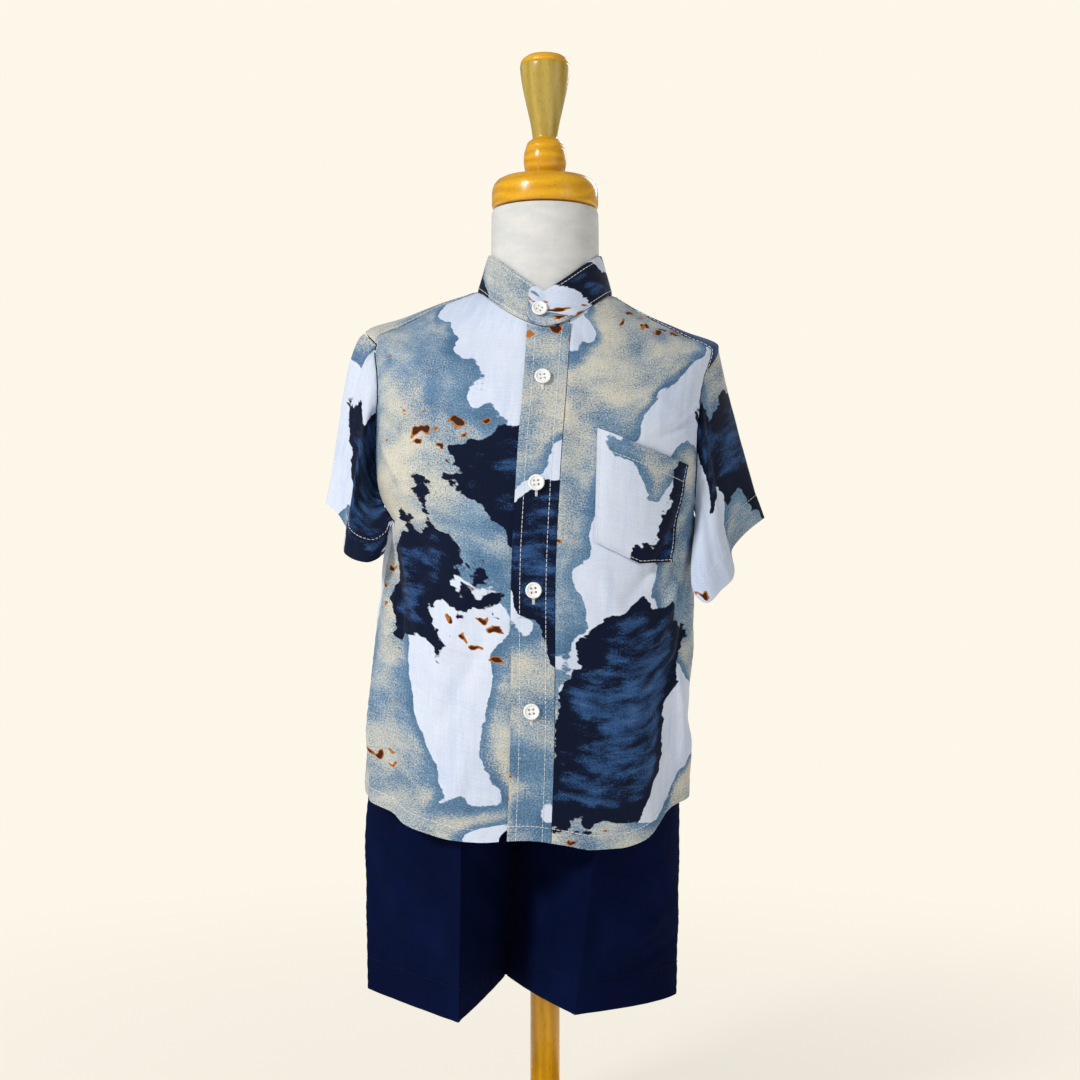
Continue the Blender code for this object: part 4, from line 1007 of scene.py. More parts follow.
def printed_cotton(weave):
    """Plain-weave cotton, printed with torn-edged blots on a pale ground: slate ones that fade to cream
    inside, navy ones with blue brush strokes, and groups of brown flecks with ochre rims."""
    material, tree, shader = new_material(
        "batik_cotton", 0.82, Sheen_Weight=0.05, Sheen_Roughness=0.5, Specular_IOR_Level=0.12
    )
    uv = cloth_place(tree)
    blot = blot_group()

    def blot_depth(shift, **values):
        vector = stretched(tree, uv, (1.0, 0.85, 1), shift=shift)
        return placed_group(tree, blot, vector=vector, **values)["Depth"]

    slate_depth = blot_depth((0, 0, 0), scale=8.0, level=0.456, lobes=0.10, teeth=0.036)
    navy_depth = blot_depth((3.1, 7.7, 0), scale=7.2, level=0.568, lobes=0.12, teeth=0.058)
    grain = noise(tree, stretched(tree, uv, (780, 960, 1)), 1.0, 1.5, 0.7)
    speck = times(tree, minus(tree, grain, 0.5), 0.9)
    mottle = noise(tree, stretched(tree, uv, (22, 36, 1)), 1.0, 5.0, 0.62)
    clouds = noise(tree, stretched(tree, uv, shift=(1.7, 4.1, 0)), 12.0, 3.0, 0.55)

    # slate blots: dark near the rim, cream in their clouds, speckled where the two meet
    inside = step_between(tree, slate_depth, 0.0, 0.075)
    cream = plus(tree, times_plus(tree, mottle, 0.9, times(tree, clouds, 1.2)), speck)
    cream = step_between(tree, times_plus(tree, inside, 0.42, cream), 1.24, 1.80)
    steel = plus(tree, times_plus(tree, inside, 0.18, mottle), speck)
    slate = mixed(tree, step_between(tree, steel, 0.30, 0.95), PRINT["slate"], PRINT["steel"])
    slate = mixed(tree, cream, slate, PRINT["cream"])

    # navy blots: nearly black at the rim, brushed with blue inside
    brush = noise(tree, stretched(tree, uv, (38, 120, 1), (0, 0, 0.45)), 1.0, 4.0, 0.6)
    strokes = plus(tree, times_plus(tree, clouds, 0.7, brush), times(tree, speck, 0.5))
    strokes = times_plus(tree, step_between(tree, navy_depth, 0.0, 0.09), 0.30, strokes)
    navy = mixed(tree, step_between(tree, strokes, 1.02, 1.30), PRINT["navy"], PRINT["blue"])
    navy = mixed(tree, step_between(tree, strokes, 1.26, 1.55), navy, PRINT["haze"])

    streaks = noise(tree, stretched(tree, uv, (160, 14, 1)), 1.0, 3.0, 0.6)
    wash = times_plus(tree, clouds, 0.6, times(tree, streaks, 0.4))
    wash = times(tree, step_between(tree, wash, 0.42, 0.72), 0.55)
    colour = mixed(tree, wash, PRINT["ground"], PRINT["shade"])
    colour = mixed(tree, step_between(tree, slate_depth, -0.002, 0.003), colour, slate)
    colour = mixed(tree, step_between(tree, navy_depth, -0.002, 0.003), colour, navy)

    # the flecks: short dabs in loose groups, ochre at their rims
    wobble_inputs = (("Vector", uv), ("Scale", 100.0), ("Detail", 1.0))
    wobble = add(tree, "ShaderNodeTexNoise", wobble_inputs).outputs["Color"]
    wobble = add(tree, "ShaderNodeVectorMath", ((0, wobble), (3, 0.016)), operation="SCALE").outputs[0]
    fleck_space = add(tree, "ShaderNodeVectorMath", ((0, uv), (1, wobble)), operation="ADD").outputs[0]
    fleck_space = stretched(tree, fleck_space, (1.0, 2.3, 1), (0, 0, 0.25))
    fleck_inputs = (("Vector", fleck_space), ("Scale", 52.0), ("Randomness", 1.0))
    flecks = add(tree, "ShaderNodeTexVoronoi", fleck_inputs).outputs["Distance"]
    fleck_group = noise(tree, stretched(tree, uv, (1.0, 1.6, 1), shift=(9.3, 2.2, 0)), 9.0, 0.5)
    nearness = times(tree, step_between(tree, fleck_group, 0.58, 0.70), FLECK_REACH)
    nearness = minus(tree, nearness, flecks)
    nearness = minus(tree, nearness, step_between(tree, navy_depth, -0.03, 0.0))
    colour = mixed(tree, step_between(tree, nearness, 0.20, 0.23), colour, PRINT["ochre"])
    colour = mixed(tree, step_between(tree, nearness, 0.29, 0.32), colour, PRINT["brown"])

    thread = placed_group(tree, weave, vector=uv, pitch=0.00042, lean=0.0, slub=0.8)
    faded = times_plus(tree, thread["Shade"], 0.5, times(tree, grain, 0.5))
    faded = add(tree, "ShaderNodeCombineColor", ((0, faded), (1, faded), (2, faded))).outputs[0]
    feed(shader, "Base Color", mixed(tree, 0.75, colour, faded, "SOFT_LIGHT"))
    bumped(tree, shader, thread["Height"], 0.00006, 0.7)
    return material


def navy_twill(weave):
    material, tree, shader = new_material("navy_twill", 0.85, Specular_IOR_Level=0.02)
    uv = cloth_place(tree)
    thread = placed_group(tree, weave, vector=uv, pitch=0.0005, lean=0.5, slub=0.6)
    worn = step_between(tree, noise(tree, uv, 14.0, 4.0, 0.6), 0.35, 0.75)
    colour = mixed(tree, worn, (0.0010, 0.0030, 0.022), (0.0024, 0.0066, 0.043))
    feed(shader, "Base Color", mixed(tree, times(tree, thread["Shade"], 0.35), colour, (0.006, 0.013, 0.055)))
    bumped(tree, shader, thread["Height"], 0.00008, 0.8)
    return material


def sewing_thread(name, colour):
    material, tree, shader = new_material(name, 0.7, Specular_IOR_Level=0.15)
    fuzz = noise(tree, object_place(tree), 900.0, 2.0)
    shaded = [part * 0.86 for part in colour]
    feed(shader, "Base Color", mixed(tree, step_between(tree, fuzz, 0.3, 0.7), shaded, colour))
    bumped(tree, shader, fuzz, 0.00005)
    return material


def button_white():
    material, tree, shader = new_material("button_white", 0.24, Specular_IOR_Level=0.5, Coat_Weight=0.2)
    cloud = noise(tree, object_place(tree), 240.0, 2.0)
    feed(shader, "Base Color", mixed(tree, cloud, (0.80, 0.82, 0.85), (0.93, 0.93, 0.93)))
    feed(shader, "Roughness", times_plus(tree, cloud, 0.12, 0.20))
    return material


def form_cover(weave):
    """Cotton stretched over the form and sized: threads across and up, with cloudy patches."""
    material, tree, shader = new_material("form_cover", 0.85, Sheen_Weight=0.05, Specular_IOR_Level=0.25)
    place = object_place(tree)
    split = add(tree, "ShaderNodeSeparateXYZ", ((0, place),)).outputs
    flat = add(tree, "ShaderNodeCombineXYZ", ((0, split[0]), (1, split[2]))).outputs[0]
    thread = placed_group(tree, weave, vector=flat, pitch=0.0007, lean=0.0, slub=0.9)
    cloudy = noise(tree, stretched(tree, place, (30, 30, 70)), 1.0, 5.0, 0.65)
    patches = step_between(tree, cloudy, 0.34, 0.70)
    colour = mixed(tree, patches, (0.535, 0.555, 0.570), (0.665, 0.660, 0.645))
    feed(shader, "Base Color", mixed(tree, times(tree, thread["Shade"], 0.24), colour, (0.80, 0.79, 0.77)))
    bumped(tree, shader, times_plus(tree, cloudy, 3.0, thread["Height"]), 0.00008, 0.6)
    return material


WOOD = {
    "honey": ((0.810, 0.440, 0.014), (0.500, 0.210, 0.005)),
    "olive": ((0.520, 0.380, 0.085), (0.300, 0.200, 0.028)),
}
WOOD_TURNS = {"across": (0.0, math.pi / 2, 0.12), "upright": (0.0, 0.0, 0.0)}


def varnished_wood(name, grain, colour, turn, top_colour=None):
    """Glossy varnished wood. With a top colour, only the handle between the finial's ball and its dome
    keeps the first."""
    material, tree, shader = new_material(
        name, 0.28, Coat_Weight=0.28, Coat_Roughness=0.14, Specular_IOR_Level=0.25
    )
    place = object_place(tree)

    def planed(tone, direction):
        light, dark = WOOD[tone]
        vector = stretched(tree, place, turn=WOOD_TURNS[direction])
        return placed_group(tree, grain, vector=vector, light=(*light, 1), dark=(*dark, 1), contrast=1.0)

    wood = planed(colour, turn)
    shown_colour = wood["Color"]
    if top_colour:
        height = add(tree, "ShaderNodeSeparateXYZ", ((0, place),)).outputs[2]
        low, high = ((HEM_HEIGHT + z) * MM for z in (HANDLE_BOTTOM, HANDLE_TOP))
        above = step_between(tree, height, low - 0.0004, low + 0.0010)
        below = step_between(tree, height, high + 0.0004, high - 0.0006)
        handle = times(tree, above, below)
        shown_colour = mixed(tree, handle, planed(top_colour, "across")["Color"], shown_colour)
    worn = step_between(tree, noise(tree, place, 60.0, 3.0), 0.35, 0.70)
    feed(shader, "Base Color", shown_colour)
    feed(shader, "Roughness", times_plus(tree, worn, 0.16, 0.18))
    bumped(tree, shader, wood["Height"], 0.00010, 0.5)
    return material


weave = weave_group()
grain = grain_group()
CLOTHS = {"batik_cotton": printed_cotton(weave), "navy_twill": navy_twill(weave)}
WHITE_THREAD = sewing_thread("white_thread", (0.84, 0.85, 0.86))
NAVY_THREAD = sewing_thread("navy_thread", (0.002, 0.004, 0.022))
BUTTON = button_white()
COVER = form_cover(weave)
HONEY_WOOD = varnished_wood("honey_wood", grain, "honey", "across")
FINIAL_WOOD = varnished_wood("finial_wood", grain, "olive", "upright", "honey")
POLE_WOOD = varnished_wood("pole_wood", grain, "honey", "upright")


# The shirt
def over_body(bottom, top, start, end):
    """The angles and levels of a grid between its four edges, and its runs over the plain body."""
    places = patch(bottom, top, start, end)
    angle, level = places[..., 0], places[..., 1]
    return angle, level, runs(body_point(angle, level))


def stitched_lines(outer, normals, places):
    """Lines of stitching, each given by an edge and its distance from it."""
    run = runs(outer)
    return [line_at(outer, normals, run, edge, distance) for edge, distance in places]


def body_piece(name, angle, level, out, seams=(), extra_wall=0.0, flat=None, stitched=()):
    """A shirt piece that lies over the body, with its creases and relief, and its lines of stitching."""
    normals = body_normal(angle, level)
    points = body_point(angle, level) + normals * (np.asarray(out) + crease_depth(angle, level))[..., None]
    outer = drawn_back(points, seams)
    inner = outer - normals * (SHIRT_WALL + np.asarray(extra_wall))[..., None]
    piece = cloth(name, outer, inner, "batik_cotton", flat=flat and flat(outer))
    return piece, stitched_lines(outer, normals, stitched)


def outer_edge(side, turn):
    return joined(side_seam(side, SIDE_SEAM_SPANS), armhole(side, np.linspace(180, turn, ARMHOLE_SPANS + 1)))


def front_rows(low):
    spans = np.cumsum([0, SIDE_SEAM_SPANS, ARMHOLE_SPANS, YOKE_SPANS])
    heights = (low, *FRONT_ROW_HEIGHTS, SHIRT_RINGS[-1].front_z)
    return level_at_front_z(np.interp(np.arange(spans[-1] + 1), spans, heights))


def centre_edge(x_at_level):
    level = front_rows(float(hem_level(angle_at_x(130.0, x_at_level(130.0)))))
    return np.stack([angle_at_x(level, x_at_level(level)), level], axis=-1)


def shirt_front(side, x_at_level, rise):
    tip = armhole(side, YOKE_FRONT_TURNS[side])
    corner = (math.copysign(YOKE_NECK_ANGLE, tip[0]), NECKLINE)
    start = centre_edge(x_at_level)
    end = joined(outer_edge(side, YOKE_FRONT_TURNS[side]), straight(tip, corner, YOKE_SPANS))
    bottom = hem_line(start[0, 0], end[0, 0], NECK_SPANS)
    angle, level, run = over_body(bottom, straight(start[-1], corner, NECK_SPANS), start, end)
    out = rise(body_point(angle, level)[..., 0] - placket_x(level), level)
    seams = ("u0", "u1", "v1") if side == "left" else ("u1", "v1")
    out = out + seam_relief(run, seams) + hem_relief(run["v0"], run["u0"], SHIRT_HEM_WIDTH)
    wall = hem_wall(run["v0"], SHIRT_HEM_WIDTH, SHIRT_HEM_WALL)
    return body_piece(f"shirt_front_{side}", angle, level, out, seams, wall, stitched=[SHIRT_HEM_STITCHING])


def shirt_fronts():
    """The left front ends beside the placket, and the right one goes on beneath it."""
    left_edge = PLACKET_WIDTH / 2 + 0.2

    def left_x(level):
        return placket_x(level) + left_edge

    def right_x(level):
        swing = RIGHT_FRONT_SWING * smoothstep((hem_level(0.0) + SWING_HEIGHT - level) / SWING_HEIGHT)
        return placket_x(level) + RIGHT_FRONT_UNDER - swing

    def left_rise(x, level):
        beside = 1 - smoothstep((x - left_edge) / PLACKET_EASE)
        return (SHIRT_WALL + LAY_GAP) * beside * smoothstep((NECKLINE - level) / PLACKET_EASE)

    def right_rise(x, level):
        return np.zeros_like(x)

    return shirt_front("left", left_x, left_rise), shirt_front("right", right_x, right_rise)


def shirt_placket():
    across = 16
    level = front_rows(float(hem_level(0.0)))
    level[-1] -= 1.5
    x = placket_x(level)[None] + np.linspace(-PLACKET_WIDTH / 2, PLACKET_WIDTH / 2, across + 1)[:, None]
    levels = np.broadcast_to(level, x.shape)
    angle = angle_at_x(levels, x)
    # the lowest rows follow the hem
    top_row = level[40]
    down = smoothstep((top_row - levels) / (top_row - level[0]))
    levels = levels + down * (hem_level(angle) - hem_level(0.0))
    run = runs(body_point(angle, levels))
    out = SHIRT_WALL + LAY_GAP + np.zeros(angle.shape)
    for edge in ("u0", "u1"):
        out -= 0.30 * bump(run[edge] - PLACKET_STITCH_INSET, 0.9)
        out += 0.14 * np.sin(run["v0"] * 0.9 + 1.5 * np.sin(run["v0"] * 0.17)) * bump(run[edge] - 3.0, 3.2)
    out += 0.5 * hem_relief(run["v0"], run["u0"], SHIRT_HEM_WIDTH)
    stitched = (("u0", PLACKET_STITCH_INSET), ("u1", PLACKET_STITCH_INSET), SHIRT_HEM_STITCHING)
    return body_piece("shirt_placket", angle, levels, out, ("u1",), stitched=stitched)


def back_edges(edge_of):
    """The left and the right edge of a piece that reaches round the back."""
    edges = [edge_of(side) for side in SIDES]
    for edge in edges:
        edge[:, 0] %= 360
    return edges


def shirt_back():
    count = 150
    start, end = back_edges(lambda side: outer_edge(side, 360 - YOKE_BACK_TURN))
    bottom = hem_line(start[0, 0], end[0, 0], count)
    angle, level, run = over_body(bottom, straight(start[-1], end[-1], count), start, end)
    seams = ("u0", "u1", "v1")
    out = seam_relief(run, seams) + hem_relief(run["v0"], run["u0"], SHIRT_HEM_WIDTH)
    wall = hem_wall(run["v0"], SHIRT_HEM_WIDTH, SHIRT_HEM_WALL)
    return body_piece(
        "shirt_back", angle, level, out, seams, wall,
        flat=lambda outer: laid_flat(outer, count // 2), stitched=[SHIRT_HEM_STITCHING],
    )


def fan_flat(points):
    """The yoke's grid laid flat, as a fan round the neck."""
    neck = points[:, -1:, :2]
    return neck + runs(points)["v1"][..., None] * unit(points[:, :1, :2] - neck)


def shirt_yoke():
    left, right = back_edges(
        lambda side: armhole(side, np.linspace(YOKE_FRONT_TURNS[side], -YOKE_BACK_TURN, YOKE_SIDE_SPANS + 1))
    )
    bottom = joined(joined(left, straight(left[-1], right[-1], YOKE_BACK_SPANS)), right[::-1])
    # the neck's edge spreads over fewer degrees in front than the armholes' edges do
    ahead = [abs(180 - edge[0, 0]) for edge in (left, right)]
    edge_angles = (180 - ahead[0], 90, 270, 180 + ahead[1])
    top_angle = np.interp(bottom[:, 0], edge_angles, (YOKE_NECK_ANGLE, 90, 270, 360 - YOKE_NECK_ANGLE))
    top = np.stack([top_angle, np.full(len(bottom), NECKLINE)], axis=-1)
    start, end = straight(bottom[0], top[0], YOKE_SPANS), straight(bottom[-1], top[-1], YOKE_SPANS)
    angle, level, run = over_body(bottom, top, start, end)
    seams = ("u0", "u1", "v0", "v1")
    out = seam_relief(run, seams) + 0.25
    stitched = [(edge, 2.0) for edge in ("v0", "u0", "u1")]
    piece, lines = body_piece("shirt_yoke", angle, level, out, seams, flat=fan_flat, stitched=stitched)
    lines[0] = [part[len(left):-len(left)] for part in lines[0]]
    return piece, lines


def cuff_points(side, turn):
    rows = SLEEVE_CUFFS[side]
    around = rows[-2:] + rows + rows[:2]
    turns = column(around, "turn") + np.repeat([-360, 0, 360], [2, len(rows), 2])
    x, y, z = (eased_through(turn, turns, column(around, name)) for name in ("x", "y", "z"))
    return np.stack([SIDES[side] * x, y, z], axis=-1)


def shirt_sleeve(side):
    rows = 64
    turn = np.arange(180, 540.1, 2.5) % 360
    sign = SIDES[side]
    seam = armhole(side, turn)
    start = body_outside(seam[:, 0], seam[:, 1], crease_depth(seam[:, 0], seam[:, 1]))
    end = cuff_points(side, turn)
    length = np.linalg.norm(end - start, axis=-1, keepdims=True)
    top = (1 + np.cos(np.radians(turn)))[:, None] / 2
    hang = SLEEVE_HANGS[side]
    top_way, low_way = np.array([[sign * hang.top_out, 0.0, hang.top_up], [sign, 0.0, -0.75]])
    out = unit(top_way * top + low_way * (1 - top))
    spring = hang.top_spring * top + hang.low_spring * (1 - top)
    fall = np.array([sign * hang.hem_out, 0.0, -1.0])
    start = start + out * SEAM_GAP * 1.5
    t = np.linspace(0, 1, rows + 1)[None, :, None]
    a, b, c, d = curve_shares(t)
    leave, arrive = out * length * spring, fall * length * hang.hem_spring
    points = a * start[:, None] + b * leave[:, None] + c * end[:, None] + d * arrive[:, None]
    normals = facing(points, points.reshape(-1, 3).mean(axis=0), tube=True)
    run = runs(points)
    down = t[..., 0]
    relief = 0.25 * rumple(run["u0"], run["v0"], 38.0) * smoothstep(down * 4)
    for fold in SLEEVE_FOLDS[side]:
        middle = fold.turn + fold.lean * (down - 0.5)
        off = (turn[:, None] - middle + 180) % 360 - 180
        relief = relief + fold.depth * bump(off, fold.half_turn) * smoothstep(down * 1.6) * (1 - 0.5 * down)
    relief -= rolled_in(run["v0"])
    relief += 0.20 * np.sin(run["u0"] * 0.7 + 2.0 * np.sin(run["u0"] * 0.13)) * np.exp(-run["v0"] / 7.0)
    relief += hem_relief(run["v1"], run["u0"], SLEEVE_HEM_WIDTH)
    wall = hem_wall(run["v1"], SLEEVE_HEM_WIDTH, SLEEVE_HEM_WALL)
    relief[-1], wall[-1] = relief[0], wall[0]
    outer = points + normals * relief[..., None]
    inner = outer - normals * (SHIRT_WALL + wall)[..., None]
    # laid flat, the sleeve's hem is straight
    run = runs(outer)
    along_hem = np.broadcast_to(run["u0"][:, -1:], run["u0"].shape)
    flat = np.stack([along_hem, run["v1"].max() - run["v1"]], axis=-1)
    piece = cloth(f"shirt_sleeve_{side}", outer, inner, "batik_cotton", tube=True, flat=flat)
    return piece, stitched_lines(outer, normals, [("v1", SLEEVE_HEM_WIDTH - HEM_STITCH_INSET)])


# The band's end is rounded off over this angle, down to this much less than its full height
COLLAR_CORNER_ANGLE = 5.0
COLLAR_CORNER_CUT = 0.42
COLLAR_END_ANGLE = math.degrees(math.asin(COLLAR_OVERLAP / SHIRT_RINGS[-1].half_width))


def collar_point(angle, share, out):
    bottom = body_point(angle, NECKLINE)
    top = ring_point(COLLAR_TOP, angle)
    rise = np.array([0.0, 0.0, COLLAR_SEAM_GAP])
    point = (bottom + rise) * (1 - share) + top * share
    point[..., 0] += out * np.sin(np.radians(angle))
    point[..., 1] -= out * np.cos(np.radians(angle))
    return point


def collar_lift(angle):
    over = smoothstep((-COLLAR_END_ANGLE * 0.2 - (angle + 318)) / 26)
    return (COLLAR_WALL + LAY_GAP) * over


def shirt_collar():
    around, up = 190, 18
    turn = 360 + 2 * COLLAR_END_ANGLE
    # the rows lie close together at both ends, where the band is rounded
    along = np.concatenate([[0, 0.15, 0.4, 0.8, 1.3, 1.9, 2.6, 3.4], np.linspace(4.4, turn / 2, around // 2)])
    angle = COLLAR_END_ANGLE - np.concatenate([along, turn - along[-2::-1]])[:, None]
    share = np.linspace(0, 1, up + 1)[None]
    angle, share = np.broadcast_arrays(angle, share)
    end = np.minimum(COLLAR_END_ANGLE - angle, angle + 360 + COLLAR_END_ANGLE)
    share = share * (1 - 0.12 * (1 - smoothstep(end / 9)) * share)
    corner = np.clip(1 - end / COLLAR_CORNER_ANGLE, 0, 1)
    share = 0.5 + (share - 0.5) * (1 - COLLAR_CORNER_CUT * (1 - np.sqrt(1 - corner**2)))
    points = collar_point(angle, share[..., None], collar_lift(angle))
    normals = facing(points, (0, 0, 530))
    run = runs(points)
    relief = 0.18 * rumple(run["u0"], run["v0"], 24.0)
    stitched = (("v0", 2.4), ("v1", 3.2), ("u1", 3.2))
    for edge, inset in stitched:
        relief -= 0.22 * bump(run[edge] - inset, 0.8)
        relief -= 0.40 * np.exp(-run[edge] / 0.5)
    outer = points + normals * relief[..., None]
    piece = cloth("shirt_collar", outer, outer - normals * COLLAR_WALL, "batik_cotton")
    lines = stitched_lines(outer, normals, stitched)
    lines[-1] = [part[1:-1] for part in lines[-1]]
    return piece, lines


def shirt_pocket():
    along, share = 44, 22
    (top_start, top_end), (low, point, low_end) = POCKET["top"], POCKET["bottom"]
    top = straight(top_start, top_end, 40)
    bottom = joined(straight(low, point, share), straight(point, low_end, 40 - share))
    places = patch(bottom, top, straight(bottom[0], top[0], along), straight(bottom[-1], top[-1], along))
    x, z = places[..., 0], places[..., 1]
    level = level_at_front_z(z)
    # the level at which the body reaches each place's height
    for _ in range(6):
        angle = angle_at_x(level, x)
        level = level + z - body_point(angle, level)[..., 2]
    run = runs(body_point(angle, level))
    edge = np.minimum(np.minimum(run["u0"], run["u1"]), run["v0"])
    out = SHIRT_WALL + LAY_GAP + 0.9 * smoothstep(edge / 10.0) * smoothstep((run["v0"] + 30) / 70)
    out += 0.9 * smoothstep((30.0 - run["v1"]) / 30.0) * bump(run["u0"] - run["u1"], 40.0)
    out += 1.1 * np.exp(-run["v0"] / 2.4) + 0.6 * np.exp(-run["u1"] / 2.0)
    out -= 0.25 * bump(edge - POCKET_STITCH_INSET, 0.8)
    out -= 0.30 * bump(run["v1"] - POCKET_MOUTH_HEM, 0.9)
    out += 0.16 * np.sin(run["v0"] * 0.8 + run["u0"] * 0.5) * np.exp(-edge / 5.0)
    stitched = [(name, POCKET_STITCH_INSET) for name in ("u0", "u1", "v0")] + [("v1", POCKET_MOUTH_HEM)]
    return body_piece("shirt_pocket", angle, level, out, stitched=stitched)


# Buttons
ButtonSeat = namedtuple("ButtonSeat", "point normal across")
# The thread between two holes, as shares of their offset and heights over the button's back
THREAD_BRIDGE = ((-1, 0.2), (-1, 1.1), (-0.7, 1.4), (0, 1.48), (0.7, 1.4), (1, 1.1), (1, 0.2))
# One stitch of a buttonhole's bar, from its middle outwards: how far out and how far up
BAR_STITCH = ((0.10, -0.05), (0.42, 0.20), (0.85, -0.10))


def button_seat(place):
    """Where a button's back face lies, which way it faces, and the direction across the body there."""
    if place.name == COLLAR_BUTTON:
        angle = math.degrees(math.asin(place.x / SHIRT_RINGS[-1].half_width)) - 360
        low, high = collar_point(np.array([angle]), np.array([[0.0], [1.0]]), collar_lift(angle))
        share = (place.z - low[2]) / (high[2] - low[2])
        point = low * (1 - share) + high * share
        turn = collar_point(np.array([angle + 1]), np.array([[share]]), collar_lift(angle))[0] - point
        normal = np.cross(turn, high - low)
    else:
        level = float(level_at_front_z(place.z))
        angle = float(angle_at_x(level, place.x))
        normal = body_normal(np.array(angle), np.array(level))
        point = body_point(angle, level) + normal * (SHIRT_WALL + LAY_GAP)
        turn = body_point(angle + 1, level) - body_point(angle, level)
    normal = Vector(normal / np.linalg.norm(normal))
    across = Vector(turn)
    across = (across - normal * across.dot(normal)).normalized()
    return ButtonSeat(Vector(point) + normal * (LAY_GAP + BUTTON_SEAT), normal, across)


def button_blank():
    """One button lying at the origin: a dished face inside a rounded rim, and four holes."""
    profile = [Turned(BUTTON_RADIUS * row.radius, BUTTON_HEIGHT * row.z) for row in BUTTON_PROFILE]
    blank = placed("blank", mesh_of("blank", lambda form: turn_profile(form, profile, 56)))

    def drill(form):
        radius = HOLE_RADIUS * MM
        for x in (-HOLE_OFFSET, HOLE_OFFSET):
            for y in (-HOLE_OFFSET, HOLE_OFFSET):
                bmesh.ops.create_cone(
                    form, cap_ends=True, segments=16, radius1=radius, radius2=radius,
                    depth=3 * BUTTON_HEIGHT * MM,
                    matrix=Matrix.Translation(Vector((x, y, BUTTON_HEIGHT / 2)) * MM),
                )

    cutter = placed("drill", mesh_of("drill", drill))
    cut = blank.modifiers.new("holes", "BOOLEAN")
    cut.operation, cut.solver, cut.object = "DIFFERENCE", "EXACT", cutter
    bpy.context.view_layer.update()
    drilled = bpy.data.meshes.new_from_object(blank.evaluated_get(bpy.context.evaluated_depsgraph_get()))
    bpy.data.objects.remove(blank)
    bpy.data.objects.remove(cutter)
    return drilled


def turn_profile(form, rows, sides):
    """A solid turned about Z, closed on the axis at both ends."""
    profile = [form.verts.new((0, 0, rows[0].z * MM))]
    profile += [form.verts.new((row.radius * MM, 0, row.z * MM)) for row in rows]
    profile.append(form.verts.new((0, 0, rows[-1].z * MM)))
    edges = [form.edges.new(pair) for pair in zip(profile, profile[1:])]
    bmesh.ops.spin(
        form, geom=profile + edges, cent=(0, 0, 0), axis=(0, 0, 1), angle=math.tau, steps=sides,
        use_merge=True,
    )
    bmesh.ops.remove_doubles(form, verts=form.verts, dist=MERGE_DISTANCE)
    bmesh.ops.recalc_face_normals(form, faces=form.faces)


def shirt_buttons():
    """The buttons, and the thread that comes up through one hole of each and down through the other."""
    blank = button_blank()
    buttons, threads = [], []
    for place in BUTTONS:
        seat = button_seat(place)
        up = seat.normal.cross(seat.across)
        spin = Matrix.Rotation(-0.2 if place.name == COLLAR_BUTTON else 0.12, 4, "Z")
        turned = Matrix((seat.across, up, seat.normal)).transposed().to_4x4()
        mesh = blank.copy()
        mesh.transform(Matrix.Translation(lifted(seat.point)) @ turned @ spin)
        turned = (turned @ spin).to_3x3()
        buttons.append(shown(new_piece("drilled_" + place.name, mesh, BUTTON), place.name))
        for y in (-HOLE_OFFSET, HOLE_OFFSET):
            threads.append([
                seat.point + turned @ Vector((HOLE_OFFSET * share, y, z))
                for share, z in THREAD_BRIDGE
            ])
    return buttons, thread_shown("button_thread", threads, THREAD_RADIUS)


def buttonholes():
    """Bars of close thread beside each button: upright on the placket, level on the collar band."""
    pitch = 0.42
    threads = []
    for place in BUTTONS:
        seat = button_seat(place)
        up = seat.normal.cross(seat.across)
        along, over, start, reach = up, seat.across, -9.5, 4.0
        if place.name == COLLAR_BUTTON:
            along, over, start, reach = seat.across, up, 2.0, 11.5
        base = seat.point - seat.normal * (LAY_GAP + BUTTON_SEAT)
        for k in range(int((reach - start) / pitch)):
            at = base + along * (start + k * pitch)
            for side in (-1, 1):
                threads.append([at + over * side * off + seat.normal * rise for off, rise in BAR_STITCH])
    return thread_shown("buttonhole_thread", threads, HOLE_THREAD_RADIUS)


# The trousers
def bent(start, lead, end, count):
    t = np.linspace(0, 1, count + 1)[:, None]
    return start * (1 - t) ** 2 + lead * 2 * t * (1 - t) + end * t * t


def trouser_row(row, side_count, inner_count, flatness):
    """Points from the side seam over the crease to the inner edge."""
    side = np.array([row.side_x, 0.0, row.side_z])
    crease = np.array([row.crease_x, row.crease_y, row.crease_z])
    inner = np.array([row.inner_x, row.inner_y, row.inner_z])
    flat = flatness * (1 - smoothstep((row.side_z - 60) / 190))
    side_lead = side + (crease - side) * (0.45 * flat, 0.59 - 0.12 * flat, 0.5)
    inner_lead = inner + (crease - inner) * (0.58 * row.turn, 0.48 * (1 - row.turn), 0.5)
    bow = -math.copysign(INSEAM_BOW, row.crease_y)
    pressed = 0.45 * (crease[0] - inner[0])
    hides_gap = row.crease_y > 0 and pressed > 0
    inner_lead[0] += (bow if hides_gap else bow * (1 - flat) + pressed * flat) * (1 - row.turn)
    return joined(bent(side, side_lead, crease, side_count), bent(crease, inner_lead, inner, inner_count))


def drag_line(x, z, fold):
    """A bent fold in the view from the front, between two places, fading at both ends."""
    run = np.array([fold.end_x - fold.x, fold.end_z - fold.z])
    along, off = beside_line(x - fold.x, z - fold.z, run)
    off = off + 0.05 * math.hypot(*run) * np.sin(along * math.pi)
    return bump(off, fold.half_width) * bump(along - 0.5, 0.45)


